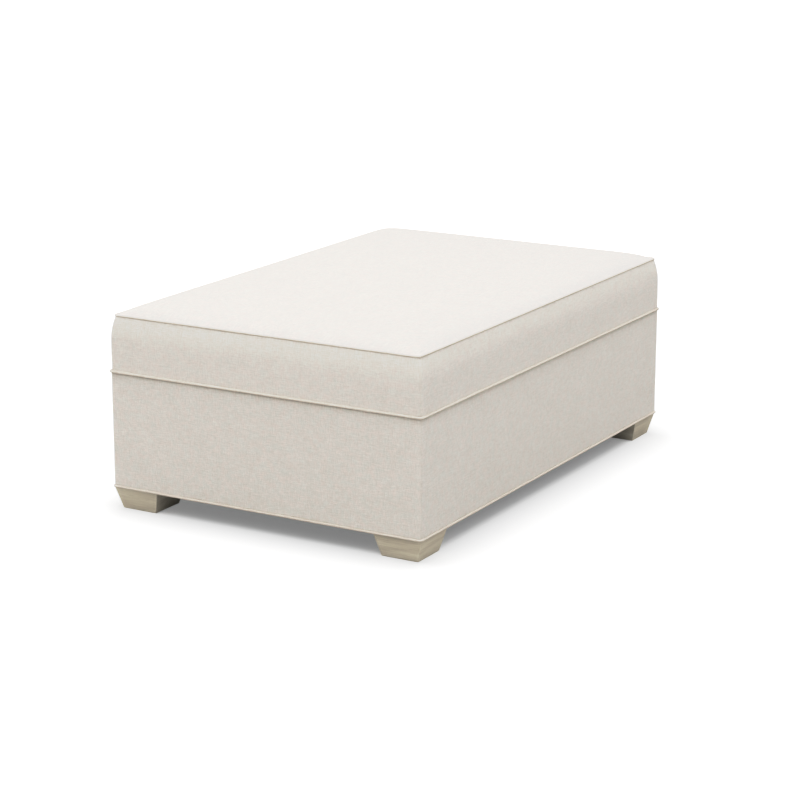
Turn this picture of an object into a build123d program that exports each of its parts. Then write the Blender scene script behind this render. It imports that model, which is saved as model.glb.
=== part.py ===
from build123d import *
from math import asin, atan2, ceil, cos, degrees, hypot, radians, sin
import os

# A storage ottoman, in millimetres: an upholstered box on four tapered feet, closed by a thick
# padded lid that is hinged along the rear edge and held up by two gas struts.
# +X runs along the length, -Y is the front, +Z is up, and the origin is on the floor below the
# middle of the body.

# Main sizes
body_length = 1210.0  # fabric face to fabric face
body_width = 804.0
foot_height = 51.0
base_height = 266.5  # panels of the box, from edge to edge
cushion_height = 129.5  # underside of the lid board to the top seam
crown_rise = 17.9  # of the top panel above its seam
lid_opening_angle = 85.0

# Cloth, wadding and cord
fabric_thickness = 1.2
base_wadding_thickness = 6.0
edge_pad_thickness = 0.5
seat_wadding_thickness = 10.0
lining_thickness = 0.8
dust_cover_thickness = 0.8
body_corner_radius = 7.0
foam_corner_radius = 3.0
top_seam_inset = 7.8
crown_reach = 110.0  # from the seam to where the top panel is level
welt_radius = 3.0
lid_welt_proud = 4.8  # of the fabric face
base_welt_proud = 3.4
lid_welt_lift = 0.4  # of the cord above the lid board's underside
base_welt_lift = 2.4  # of the cord's centre above the panels' lower edge
top_welt_offset = 1.0  # of the cord's centre from the seam
top_welt_lift = 0.6
soft_clearance = 0.3

# Section of the cushion: its sides stand straight, then lean in to the seam on one arc, and the crown
# rises on two arcs that meet at these shares of its reach and of its rise
boxing_straight_share = 0.5
crown_join_shares = (0.2, 0.64)

# Timber
panel_thickness = 18.0
floor_thickness = 12.0
lid_board_thickness = 18.0
cleat_height = 38.0
cleat_width = 25.0
bearer_width = 38.0
corner_block_width = 90.0
corner_block_clip_width = 42.0
floor_clearance = 0.5

# Feet and their fixings
foot_top_width = 117.0
foot_bottom_width = 91.0
foot_inset = 1.5  # from the fabric face
foot_edge_radius = 1.5
glide_radius = 11.0
glide_thickness = 4.0
glide_stand = 1.5  # of the wood above the floor
glide_edge = 1.0
glide_nail_radius = 1.4
glide_nail_length = 15.0
bolt_radius = 4.0
bolt_in_foot = 32.0
bolt_below_floor = 1.0
tee_nut_wall = 1.2
tee_nut_flange_radius = 11.0
tee_nut_flange_thickness = 1.5
tee_nut_length = 11.0
bolt_clearance = 0.1

# Countersunk wood screws
screw_shank_radius = 1.8
screw_head_radius = 3.6
screw_head_depth = 1.8
screw_clearance = 0.05
frame_screw_length = 50.0
hinge_screw_length = 16.0
bracket_screw_length = 14.0
frame_screws_per_corner = 2
frame_screw_edge = 66.0  # from the panel's upper and lower edges

# Piano hinge along the rear seam
hinge_leaf_thickness = 0.9
hinge_leaf_width = 27.0
hinge_pin_radius = 1.2
hinge_pin_clearance = 0.05
hinge_face_gap = 0.25  # barrel to the rear fabric
knuckle_length = 52.0
hinge_end_room = 50.0  # least, from the hinge's end to the fabric face
knuckle_gap = 0.15  # at each end of a knuckle
knuckle_notch_gap = 0.4  # barrel to the other leaf's edge
hinge_pocket_gap = 1.0
hinge_screw_pitch = 210.0  # at most
hinge_screw_end = 47.0  # from the hinge's end to the last screw

# Gas struts, one near each end of the box
lid_pivot_drop = 13.0  # below the lid's lining
base_bracket_lift = 17.8  # lower bracket above the well's lining
base_bracket_gap = 3.2  # lower bracket to the rear lining
strut_side_gap = 16.0  # strut's centre to the lining of the end panel
strut_tube_radius = 7.5
strut_tube_wall = 1.5
strut_end_gap = 9.2  # tube to the rod's neck with the lid shut
strut_rod_radius = 3.0
strut_guide_length = 9.0
strut_plug_length = 8.0
piston_length = 8.0
strut_clearance = 0.1
piston_clearance = 0.2
eye_radius = 8.0
eye_thickness = 10.0
eye_neck_radius = 4.5
eye_neck_length = 12.0
stud_radius = 3.0
stud_clearance = 0.05
stud_shoulder_radius = 4.5
stud_head_radius = 4.5
stud_head_thickness = 1.5
stud_end_play = 0.2
bracket_thickness = 2.0
bracket_width = 36.0
bracket_length = 54.0
bracket_corner_radius = 6.0
bracket_screw_inset = 9.0
lid_bracket_web_gap = 2.0
strut_plug_clearance = 3.0  # piston to plug with the lid shut

# Felt bumpers under the lid
bumper_radius = 6.0
bumper_spacing = 900.0
bumper_clearance = 0.3

mitre_reach = 60.0
cut_overrun = 1.0

# Places that follow from the sizes
half_length = body_length / 2
half_width = body_width / 2
cover_stack = fabric_thickness + base_wadding_thickness
frame_half_length = half_length - cover_stack
frame_half_width = half_width - cover_stack
well_half_length = frame_half_length - panel_thickness
well_half_width = frame_half_width - panel_thickness
frame_bottom = foot_height + dust_cover_thickness
frame_top = frame_bottom + base_height
wadding_top = frame_top + edge_pad_thickness
base_top = wadding_top + fabric_thickness
floor_bottom = frame_bottom + cleat_height
floor_top = floor_bottom + floor_thickness

barrel_radius = hinge_pin_radius + hinge_pin_clearance + hinge_leaf_thickness
bore_radius = hinge_pin_radius + hinge_pin_clearance
hinge_y = half_width + hinge_face_gap + barrel_radius
hinge_z = frame_top + barrel_radius
knuckle_count = 2 * int((body_length - 2 * hinge_end_room - knuckle_length) / (2 * knuckle_length)) + 1
hinge_length = knuckle_length * knuckle_count
hinge_screw_y = frame_half_width - panel_thickness / 2

board_bottom = hinge_z + barrel_radius
board_top = board_bottom + lid_board_thickness
lid_stack = fabric_thickness + soft_clearance + seat_wadding_thickness
lid_underside = board_bottom - lining_thickness
seam_z = board_bottom + cushion_height

foot_taper = degrees(atan2((foot_top_width - foot_bottom_width) / 2, foot_height - glide_stand))
foot_centre_x = half_length - foot_inset - foot_top_width / 2
foot_centre_y = half_width - foot_inset - foot_top_width / 2

# Both strut pivots are equally far from the hinge line, so the strut turns half as far as the lid
base_pivot_z = floor_top + lining_thickness + base_bracket_lift + bracket_length / 2
base_pivot_y = well_half_width - lining_thickness - base_bracket_gap - bracket_width / 2
strut_reach = hypot(hinge_y - base_pivot_y, hinge_z - base_pivot_z)
strut_base_angle = degrees(atan2(hinge_z - base_pivot_z, hinge_y - base_pivot_y))
lid_pivot_z = lid_underside - lid_pivot_drop
lid_pivot_angle = degrees(asin((hinge_z - lid_pivot_z) / strut_reach))
lid_pivot_y = hinge_y - strut_reach * cos(radians(lid_pivot_angle))
strut_x = well_half_length - lining_thickness - strut_side_gap
strut_closed_length = hypot(lid_pivot_y - base_pivot_y, lid_pivot_z - base_pivot_z)
strut_bore_radius = strut_tube_radius - strut_tube_wall
strut_tube_length = strut_closed_length - 2 * eye_neck_length - strut_end_gap
strut_rod_length = strut_closed_length - eye_neck_length - strut_plug_length - strut_plug_clearance

corners = {"front_left": (-1, -1), "front_right": (1, -1), "rear_left": (-1, 1), "rear_right": (1, 1)}
sides = {"front": (0, -1), "rear": (0, 1), "left": (-1, 0), "right": (1, 0)}
ends = {"left": -1, "right": 1}
on_base = (Align.CENTER, Align.CENTER, Align.MIN)

os.makedirs("parts", exist_ok=True)


def save(part, name):
    """Labels a finished piece and writes it as a STEP file of that name."""
    part.label = name
    export_step(part, f"parts/{name}.step")


def block(low, high):
    """A rectangular block between two opposite corners."""
    size = [b - a for a, b in zip(low, high)]
    middle = tuple((a + b) / 2 for a, b in zip(low, high))
    with BuildPart() as piece:
        with Locations(middle):
            Box(*size)
    return piece.part


def rounded_prism(inset, corner_radius, bottom, top):
    """The body's plan, drawn in by inset on every side, between two heights."""
    with BuildPart() as prism:
        with BuildSketch(Plane.XY.offset(bottom)):
            RectangleRounded(body_length - 2 * inset, body_width - 2 * inset, corner_radius)
        extrude(amount=top - bottom)
    return prism.part


def welt_ring(inset, height, corner_radius, radius):
    """A piping cord round the body, with its centre line drawn in from the fabric face by inset."""
    across = half_length - inset
    along = half_width - inset
    with BuildPart() as ring:
        with BuildLine(Plane.XY.offset(height)) as route:
            FilletPolyline(
                (0, -along), (across, -along), (across, along), (0, along), radius=corner_radius
            )
        with BuildSketch(Plane(origin=route.line @ 0, z_dir=route.line % 0)):
            Circle(radius)
        sweep()
        mirror(about=Plane.YZ)
    return ring.part


def mitred_side(part, side_x, side_y):
    """The stretch of a ring on one side of the body, cut at 45 degrees through the corners."""
    out_x, out_y = half_length + mitre_reach, half_width + mitre_reach
    in_x, in_y = half_length - mitre_reach, half_width - mitre_reach
    if side_x:
        outline = [(out_x, -out_y), (out_x, out_y), (in_x, in_y), (in_x, -in_y)]
        outline = [(side_x * x, y) for x, y in outline]
    else:
        outline = [(-out_x, out_y), (out_x, out_y), (in_x, in_y), (-in_x, in_y)]
        outline = [(x, side_y * y) for x, y in outline]
    with BuildPart() as piece:
        add(part)
        with BuildSketch():
            with BuildLine():
                Polyline(*outline, close=True)
            make_face()
        extrude(amount=seam_z + crown_rise + cut_overrun, mode=Mode.INTERSECT)
    return piece.part


def wood_screws(places, length, clearance=0.0):
    """Countersunk screws, each with its head flush with a plane and its shank along the normal."""
    with BuildPart() as screws:
        with Locations(*places):
            Cone(
                screw_head_radius + clearance,
                screw_shank_radius + clearance,
                screw_head_depth,
                align=on_base,
            )
            Cylinder(screw_shank_radius + clearance, length + clearance, align=on_base)
    return screws.part


# Where the screws go: each plane lies on a head, with its normal along the shank
def evenly(first, last, count):
    """Places spread evenly from first to last."""
    return [first + (last - first) * i / (count - 1) for i in range(count)]


frame_screw_places = [
    Plane(origin=(side * frame_half_length, y, z), x_dir=(0, 1, 0), z_dir=(-side, 0, 0))
    for side in ends.values()
    for y in (-hinge_screw_y, hinge_screw_y)
    for z in evenly(frame_bottom + frame_screw_edge, frame_top - frame_screw_edge, frame_screws_per_corner)
]
hinge_screw_reach = hinge_length / 2 - hinge_screw_end
hinge_screw_count = ceil(2 * hinge_screw_reach / hinge_screw_pitch) + 1
hinge_screw_xs = evenly(-hinge_screw_reach, hinge_screw_reach, hinge_screw_count)
hinge_base_screw_places = [
    Plane(origin=(x, hinge_screw_y, frame_top + hinge_leaf_thickness), z_dir=(0, 0, -1))
    for x in hinge_screw_xs
]
hinge_lid_screw_places = [
    Plane(origin=(x, hinge_screw_y, board_bottom - hinge_leaf_thickness), z_dir=(0, 0, 1))
    for x in hinge_screw_xs
]
bracket_screw_span = bracket_length / 2 - bracket_screw_inset
bracket_face_x = well_half_length - lining_thickness - bracket_thickness
base_bracket_faces = {
    side: Plane((side * bracket_face_x, base_pivot_y, base_pivot_z), x_dir=(0, 1, 0), z_dir=(side, 0, 0))
    for side in ends.values()
}
base_bracket_screw_places = [
    Plane(face.from_local_coords((0, dz, 0)), x_dir=(0, 1, 0), z_dir=face.z_dir)
    for face in base_bracket_faces.values()
    for dz in (-bracket_screw_span, bracket_screw_span)
]
lid_bracket_screw_places = [
    Plane(origin=(side * strut_x, lid_pivot_y + dy, lid_underside - bracket_thickness), z_dir=(0, 0, 1))
    for side in ends.values()
    for dy in (-bracket_screw_span, bracket_screw_span)
]


# Feet: tapered square blocks, each bolted up into a corner block
def foot(side_x, side_y):
    centre = (side_x * foot_centre_x, side_y * foot_centre_y)
    with BuildPart() as leg:
        with BuildSketch(Plane.XY.offset(glide_stand)):
            with Locations(centre):
                Rectangle(foot_bottom_width, foot_bottom_width)
        extrude(amount=foot_height - glide_stand, taper=-foot_taper)
        corner_edges = leg.edges().filter_by(Plane.XY, reverse=True)
        fillet(corner_edges, foot_edge_radius)
        with Locations((*centre, glide_stand)):
            glide_recess = glide_thickness - glide_stand
            Cylinder(glide_radius, glide_recess, align=on_base, mode=Mode.SUBTRACT)
            nail_depth = glide_recess + glide_nail_length
            Cylinder(glide_nail_radius, nail_depth, align=on_base, mode=Mode.SUBTRACT)
        with Locations((*centre, foot_height - bolt_in_foot)):
            Cylinder(bolt_radius + bolt_clearance, bolt_in_foot, align=on_base, mode=Mode.SUBTRACT)
    return leg.part


for corner, (side_x, side_y) in corners.items():
    save(foot(side_x, side_y), f"{corner}_foot")

foot_centres = [(side_x * foot_centre_x, side_y * foot_centre_y) for side_x, side_y in corners.values()]

with BuildPart() as foot_glides:
    with Locations(*[(x, y, 0) for x, y in foot_centres]):
        Cylinder(glide_radius, glide_thickness, align=on_base)
    chamfer(foot_glides.faces().group_by(Axis.Z)[0].edges(), glide_edge)
    with Locations(*[(x, y, glide_thickness) for x, y in foot_centres]):
        Cylinder(glide_nail_radius, glide_nail_length, align=on_base)
save(foot_glides.part, "foot_glides")

bolt_bottom = foot_height - bolt_in_foot
with BuildPart() as hanger_bolts:
    with Locations(*[(x, y, bolt_bottom) for x, y in foot_centres]):
        Cylinder(bolt_radius, floor_bottom - bolt_below_floor - bolt_bottom, align=on_base)
save(hanger_bolts.part, "hanger_bolts")

tee_nut_radius = bolt_radius + bolt_clearance + tee_nut_wall
with BuildPart() as tee_nuts:
    with Locations(*[(x, y, floor_bottom - tee_nut_length) for x, y in foot_centres]):
        Cylinder(tee_nut_radius, tee_nut_length, align=on_base)
    with Locations(*[(x, y, floor_bottom - tee_nut_flange_thickness) for x, y in foot_centres]):
        Cylinder(tee_nut_flange_radius, tee_nut_flange_thickness, align=on_base)
    with Locations(*[(x, y, floor_bottom - tee_nut_length) for x, y in foot_centres]):
        Cylinder(bolt_radius + bolt_clearance, tee_nut_length, align=on_base, mode=Mode.SUBTRACT)
save(tee_nuts.part, "tee_nuts")


# Box frame: four panels, a raised floor on cleats, and a block in each lower corner
def corner_block(side_x, side_y):
    inner_x = well_half_length - corner_block_width
    inner_y = well_half_width - corner_block_width
    x, y = side_x * foot_centre_x, side_y * foot_centre_y
    with BuildPart() as piece:
        with BuildSketch(Plane.XY.offset(frame_bottom)):
            with BuildLine():
                Polyline(
                    (side_x * well_half_length, side_y * well_half_width),
                    (side_x * well_half_length, side_y * inner_y),
                    (side_x * (inner_x + corner_block_clip_width), side_y * inner_y),
                    (side_x * inner_x, side_y * (inner_y + corner_block_clip_width)),
                    (side_x * inner_x, side_y * well_half_width),
                    close=True,
                )
            make_face()
        extrude(amount=cleat_height)
        with Locations((x, y, frame_bottom)):
            Cylinder(bolt_radius + bolt_clearance, cleat_height, align=on_base, mode=Mode.SUBTRACT)
        with Locations((x, y, floor_bottom - tee_nut_length)):
            Cylinder(tee_nut_radius, tee_nut_length, align=on_base, mode=Mode.SUBTRACT)
        with Locations((x, y, floor_bottom - tee_nut_flange_thickness)):
            Cylinder(tee_nut_flange_radius, tee_nut_flange_thickness, align=on_base, mode=Mode.SUBTRACT)
    return piece.part


for corner, (side_x, side_y) in corners.items():
    save(corner_block(side_x, side_y), f"{corner}_corner_block")

frame_screw_holes = wood_screws(frame_screw_places, frame_screw_length, screw_clearance)
hinge_base_screw_holes = wood_screws(hinge_base_screw_places, hinge_screw_length, screw_clearance)
base_bracket_screw_holes = wood_screws(base_bracket_screw_places, bracket_screw_length, screw_clearance)

for name, side in (("front", -1), ("rear", 1)):
    with BuildPart() as long_panel:
        inner, outer = sorted((side * well_half_width, side * frame_half_width))
        add(block((-well_half_length, inner, frame_bottom), (well_half_length, outer, frame_top)))
        add(frame_screw_holes, mode=Mode.SUBTRACT)
        if name == "rear":
            add(hinge_base_screw_holes, mode=Mode.SUBTRACT)
    save(long_panel.part, f"{name}_panel")

for name, side in ends.items():
    with BuildPart() as end_panel:
        inner, outer = sorted((side * well_half_length, side * frame_half_length))
        add(block((inner, -frame_half_width, frame_bottom), (outer, frame_half_width, frame_top)))
        add(frame_screw_holes, mode=Mode.SUBTRACT)
        add(base_bracket_screw_holes, mode=Mode.SUBTRACT)
    save(end_panel.part, f"{name}_end_panel")

save(wood_screws(frame_screw_places, frame_screw_length), "frame_screws")

cleat_half_length = well_half_length - corner_block_width
cleat_half_width = well_half_width - corner_block_width
for name, side in (("front", -1), ("rear", 1)):
    inner, outer = sorted((side * (well_half_width - cleat_width), side * well_half_width))
    cleat = block((-cleat_half_length, inner, frame_bottom), (cleat_half_length, outer, floor_bottom))
    save(cleat, f"{name}_cleat")
for name, side in ends.items():
    inner, outer = sorted((side * (well_half_length - cleat_width), side * well_half_length))
    cleat = block((inner, -cleat_half_width, frame_bottom), (outer, cleat_half_width, floor_bottom))
    save(cleat, f"{name}_cleat")

bearer_x, bearer_y = bearer_width / 2, well_half_width - cleat_width
save(block((-bearer_x, -bearer_y, frame_bottom), (bearer_x, bearer_y, floor_bottom)), "floor_bearer")

floor_x, floor_y = well_half_length - floor_clearance, well_half_width - floor_clearance
save(block((-floor_x, -floor_y, floor_bottom), (floor_x, floor_y, floor_top)), "floor_panel")

# Lining of the storage well, and the dust cover stapled under the frame
well_x, well_y = well_half_length, well_half_width
lined_x, lined_y = well_half_length - lining_thickness, well_half_width - lining_thickness
lined_floor = floor_top + lining_thickness
with BuildPart() as storage_lining:
    add(block((-well_x, -well_y, floor_top), (well_x, well_y, frame_top)))
    add(block((-lined_x, -lined_y, lined_floor), (lined_x, lined_y, base_top)), mode=Mode.SUBTRACT)
    add(base_bracket_screw_holes, mode=Mode.SUBTRACT)
save(storage_lining.part, "storage_lining")

frame_x, frame_y = frame_half_length, frame_half_width
with BuildPart() as dust_cover:
    add(block((-frame_x, -frame_y, foot_height), (frame_x, frame_y, frame_bottom)))
    with Locations(*[(x, y, foot_height) for x, y in foot_centres]):
        Cylinder(bolt_radius + bolt_clearance, dust_cover_thickness, align=on_base, mode=Mode.SUBTRACT)
save(dust_cover.part, "dust_cover")

# Upholstery of the box: wadding, four cover panels mitred at the corners, and the lower piping
base_welt_inset = welt_radius - base_welt_proud
base_welt_z = frame_bottom + base_welt_lift
base_welt_corner = body_corner_radius - base_welt_inset
save(welt_ring(base_welt_inset, base_welt_z, base_welt_corner, welt_radius), "base_welt")
base_welt_groove = welt_ring(base_welt_inset, base_welt_z, base_welt_corner, welt_radius + soft_clearance)

wadding_corner_radius = body_corner_radius - fabric_thickness
hinge_pocket_half = hinge_length / 2 + hinge_pocket_gap
hinge_pocket = block(
    (-hinge_pocket_half, well_half_width - cut_overrun, frame_top),
    (hinge_pocket_half, half_width + lid_welt_proud, frame_top + barrel_radius),
)
well_void = block((-well_x, -well_y, foot_height), (well_x, well_y, hinge_z))

with BuildPart() as base_wadding:
    add(rounded_prism(fabric_thickness, wadding_corner_radius, frame_bottom, wadding_top))
    add(block((-frame_x, -frame_y, foot_height), (frame_x, frame_y, frame_top)), mode=Mode.SUBTRACT)
    add(well_void, mode=Mode.SUBTRACT)
    add(hinge_pocket, mode=Mode.SUBTRACT)
    add(base_welt_groove, mode=Mode.SUBTRACT)
save(base_wadding.part, "base_wadding")

with BuildPart() as base_cover:
    add(rounded_prism(0, body_corner_radius, frame_bottom, base_top))
    inside = rounded_prism(fabric_thickness, wadding_corner_radius, foot_height, wadding_top)
    add(inside, mode=Mode.SUBTRACT)
    add(well_void, mode=Mode.SUBTRACT)
    add(hinge_pocket, mode=Mode.SUBTRACT)
    add(base_welt_groove, mode=Mode.SUBTRACT)
for name, (side_x, side_y) in sides.items():
    save(mitred_side(base_cover.part, side_x, side_y), f"{name}_cover")

# Felt bumpers on the front and side rims
rim_y = frame_half_width - panel_thickness / 2
rim_x = frame_half_length - panel_thickness / 2
bumper_centres = [(-bumper_spacing / 2, -rim_y), (bumper_spacing / 2, -rim_y), (-rim_x, 0), (rim_x, 0)]
with BuildPart() as lid_bumpers:
    with Locations(*[(x, y, base_top) for x, y in bumper_centres]):
        Cylinder(bumper_radius, lid_underside - base_top - bumper_clearance, align=on_base)
save(lid_bumpers.part, "lid_bumpers")


# Piano hinge: two leaves whose knuckles take turns along one pin
def hinge_leaf(plate_bottom, notch_count, screw_holes):
    with BuildPart() as leaf:
        add(
            block(
                (-hinge_length / 2, hinge_y - hinge_leaf_width, plate_bottom),
                (hinge_length / 2, hinge_y, plate_bottom + hinge_leaf_thickness),
            )
        )
        with Locations(Plane(origin=(0, hinge_y, hinge_z), z_dir=(1, 0, 0))):
            Cylinder(barrel_radius, hinge_length)
            Cylinder(bore_radius, hinge_length, mode=Mode.SUBTRACT)
        notch = barrel_radius + knuckle_notch_gap
        with Locations((0, hinge_y, hinge_z)):
            with GridLocations(2 * knuckle_length, 0, notch_count, 1):
                Box(knuckle_length + 2 * knuckle_gap, 2 * notch, 2 * notch, mode=Mode.SUBTRACT)
        add(screw_holes, mode=Mode.SUBTRACT)
    return leaf.part


hinge_lid_screw_holes = wood_screws(hinge_lid_screw_places, hinge_screw_length, screw_clearance)
lid_knuckles = knuckle_count // 2
base_knuckles = knuckle_count - lid_knuckles
lid_leaf_bottom = board_bottom - hinge_leaf_thickness
save(hinge_leaf(frame_top, lid_knuckles, hinge_base_screw_holes), "hinge_base_leaf")
save(hinge_leaf(lid_leaf_bottom, base_knuckles, hinge_lid_screw_holes), "hinge_lid_leaf")
save(wood_screws(hinge_base_screw_places, hinge_screw_length), "hinge_base_screws")
save(wood_screws(hinge_lid_screw_places, hinge_screw_length), "hinge_lid_screws")

with BuildPart() as hinge_pin:
    with Locations(Plane(origin=(0, hinge_y, hinge_z), z_dir=(1, 0, 0))):
        Cylinder(hinge_pin_radius, hinge_length)
save(hinge_pin.part, "hinge_pin")

# Lid board and its lining
lid_bracket_screw_holes = wood_screws(lid_bracket_screw_places, bracket_screw_length, screw_clearance)
with BuildPart() as lid_board:
    add(rounded_prism(lid_stack, foam_corner_radius, board_bottom, board_top))
    add(hinge_lid_screw_holes, mode=Mode.SUBTRACT)
    add(lid_bracket_screw_holes, mode=Mode.SUBTRACT)
save(lid_board.part, "lid_board")

with BuildPart() as lid_lining:
    add(rounded_prism(fabric_thickness, wadding_corner_radius, lid_underside, board_bottom))
    add(
        block(
            (-hinge_pocket_half, hinge_y - hinge_leaf_width - hinge_pocket_gap, lid_underside - cut_overrun),
            (hinge_pocket_half, half_width + cut_overrun, board_bottom + cut_overrun),
        ),
        mode=Mode.SUBTRACT,
    )
    add(lid_bracket_screw_holes, mode=Mode.SUBTRACT)
save(lid_lining.part, "lid_lining")


# Cushion of the lid: foam, wadding and a boxed cover with a crowned top
def cushion_form(inset, corner_radius, bottom=board_bottom):
    """The cushion's outer form drawn in by inset: upright sides that lean in to the seam, then the crown.

    Two crossed profiles make it, and a cut at each corner rounds the upright edges.
    """
    straight_top = board_bottom + cushion_height * boxing_straight_share
    top = seam_z + crown_rise - inset
    with BuildPart() as form:
        for plane, half, mode in ((Plane.XZ, half_length, Mode.ADD), (Plane.YZ, half_width, Mode.INTERSECT)):
            with BuildSketch(plane):
                with BuildLine():
                    for side in ends.values():
                        wall = half - inset
                        seam = (side * (wall - top_seam_inset), seam_z - inset)
                        level = (side * (wall - top_seam_inset - crown_reach), top)
                        across, up = crown_join_shares
                        join = (side * (wall - top_seam_inset - across * crown_reach), seam[1] + up * crown_rise)
                        Line((0, bottom), (side * wall, bottom))
                        Line((side * wall, bottom), (side * wall, straight_top))
                        TangentArc((side * wall, straight_top), seam, tangent=(0, 1))
                        shallow = TangentArc(level, join, tangent=(side, 0))
                        TangentArc(join, seam, tangent=shallow % 1)
                        Line(level, (0, top))
                make_face()
            extrude(amount=half_length, both=True, mode=mode)
        length = body_length - inset * 2
        width = body_width - inset * 2
        with BuildSketch(Plane.XY.offset(bottom - cut_overrun)):
            Rectangle(length + cut_overrun * 2, width + cut_overrun * 2)
            RectangleRounded(length, width, corner_radius, mode=Mode.SUBTRACT)
            Rectangle(length - corner_radius * 2, width + cut_overrun * 4, mode=Mode.SUBTRACT)
            Rectangle(length + cut_overrun * 4, width - corner_radius * 2, mode=Mode.SUBTRACT)
        extrude(amount=top - bottom + cut_overrun * 2, mode=Mode.SUBTRACT)
    return form.part


cover_outer = cushion_form(0, body_corner_radius)
cover_inner = cushion_form(fabric_thickness, wadding_corner_radius)
wadding_outer = cushion_form(fabric_thickness + soft_clearance, wadding_corner_radius)
wadding_inner = cushion_form(lid_stack, foam_corner_radius)

with BuildPart() as seat_foam:
    add(cushion_form(lid_stack + soft_clearance, foam_corner_radius, bottom=board_top))
save(seat_foam.part, "seat_foam")

lid_welt_inset = welt_radius - lid_welt_proud
lid_welt_z = board_bottom + welt_radius + lid_welt_lift
lid_welt_corner = body_corner_radius - lid_welt_inset
save(welt_ring(lid_welt_inset, lid_welt_z, lid_welt_corner, welt_radius), "lid_welt")
lid_welt_groove = welt_ring(lid_welt_inset, lid_welt_z, lid_welt_corner, welt_radius + soft_clearance)

top_welt_inset = top_seam_inset - top_welt_offset
top_welt_z = seam_z + top_welt_lift
save(welt_ring(top_welt_inset, top_welt_z, body_corner_radius, welt_radius), "top_welt")
top_welt_groove = welt_ring(top_welt_inset, top_welt_z, body_corner_radius, welt_radius + soft_clearance)

with BuildPart() as seat_wadding:
    add(wadding_outer)
    add(wadding_inner, mode=Mode.SUBTRACT)
    add(top_welt_groove, mode=Mode.SUBTRACT)
save(seat_wadding.part, "seat_wadding")

with BuildPart() as boxed_cover:
    add(cover_outer)
    add(cover_inner, mode=Mode.SUBTRACT)
    add(top_welt_groove, mode=Mode.SUBTRACT)
    add(lid_welt_groove, mode=Mode.SUBTRACT)

top_seam_plane = Plane.XY.offset(seam_z - fabric_thickness)
with BuildPart() as top_cover:
    add(boxed_cover.part)
    split(bisect_by=top_seam_plane, keep=Keep.TOP)
save(top_cover.part, "top_cover")

with BuildPart() as boxing:
    add(boxed_cover.part)
    split(bisect_by=top_seam_plane, keep=Keep.BOTTOM)
    split(bisect_by=Plane.XY.offset(lid_welt_z), keep=Keep.TOP)
for name, (side_x, side_y) in sides.items():
    save(mitred_side(boxing.part, side_x, side_y), f"{name}_boxing")


# Gas struts and their brackets
def pivot_stud(side, from_x, y, z):
    """A shouldered stud that points inwards from a bracket, through the eye, to a turned-over head."""
    eye_outer_x = strut_x + eye_thickness / 2 + stud_end_play
    eye_inner_x = strut_x - eye_thickness / 2 - stud_end_play
    with BuildPart() as pin:
        with Locations(Plane(origin=(side * from_x, y, z), z_dir=(-side, 0, 0))):
            Cylinder(stud_shoulder_radius, from_x - eye_outer_x, align=on_base)
            Cylinder(stud_radius, from_x - eye_inner_x, align=on_base)
        with Locations(Plane(origin=(side * eye_inner_x, y, z), z_dir=(-side, 0, 0))):
            Cylinder(stud_head_radius, stud_head_thickness, align=on_base)
    return pin.part


def base_bracket(side):
    """A rounded plate on the lining of the end panel, with the stud of the lower eye."""
    with BuildPart() as bracket:
        with BuildSketch(base_bracket_faces[side]):
            RectangleRounded(bracket_width, bracket_length, bracket_corner_radius)
        extrude(amount=bracket_thickness)
        add(pivot_stud(side, bracket_face_x, base_pivot_y, base_pivot_z))
        add(base_bracket_screw_holes, mode=Mode.SUBTRACT)
    return bracket.part


def lid_bracket(side):
    """A plate under the lid, with a tapering web on its outer edge for the stud of the upper eye."""
    web_x = strut_x + eye_thickness / 2 + lid_bracket_web_gap
    web_face = Plane(
        origin=(side * web_x, lid_pivot_y, lid_underside), x_dir=(0, side, 0), z_dir=(side, 0, 0)
    )
    half = bracket_length / 2
    shoulder = -bracket_thickness
    tip_start = (eye_radius, -lid_pivot_drop)
    tip_end = (-eye_radius, -lid_pivot_drop)
    with BuildPart() as bracket:
        with BuildSketch(Plane(origin=(side * strut_x, lid_pivot_y, lid_underside - bracket_thickness))):
            Rectangle(2 * (web_x - strut_x), bracket_length)
        extrude(amount=bracket_thickness)
        with BuildSketch(web_face):
            with BuildLine():
                Polyline(tip_end, (-half, shoulder), (-half, 0), (half, 0), (half, shoulder), tip_start)
                ThreePointArc(tip_start, (0, -lid_pivot_drop - eye_radius), tip_end)
            make_face()
        extrude(amount=bracket_thickness)
        add(pivot_stud(side, web_x, lid_pivot_y, lid_pivot_z))
        add(lid_bracket_screw_holes, mode=Mode.SUBTRACT)
    return bracket.part


def strut_eye(pivot):
    """An eye across the strut at its pivot, and the neck that carries the tube or the rod."""
    with BuildPart() as eye:
        with Locations(pivot):
            Cylinder(eye_neck_radius, eye_neck_length, align=on_base)
            Cylinder(eye_radius, eye_thickness, rotation=(0, 90, 0))
    return eye.part


def strut_tube(pivot):
    guide_start = eye_neck_length + strut_tube_length - strut_guide_length
    bore_start = eye_neck_length + strut_plug_length
    with BuildPart() as tube:
        add(strut_eye(pivot))
        with Locations(pivot.offset(eye_neck_length)):
            Cylinder(strut_tube_radius, strut_tube_length, align=on_base)
        with Locations(pivot.offset(bore_start)):
            Cylinder(strut_bore_radius, guide_start - bore_start, align=on_base, mode=Mode.SUBTRACT)
        with Locations(pivot.offset(guide_start)):
            guide_bore = strut_rod_radius + strut_clearance
            Cylinder(guide_bore, strut_guide_length, align=on_base, mode=Mode.SUBTRACT)
        with Locations(pivot):
            Cylinder(stud_radius + stud_clearance, eye_thickness, rotation=(0, 90, 0), mode=Mode.SUBTRACT)
    return tube.part


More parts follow.
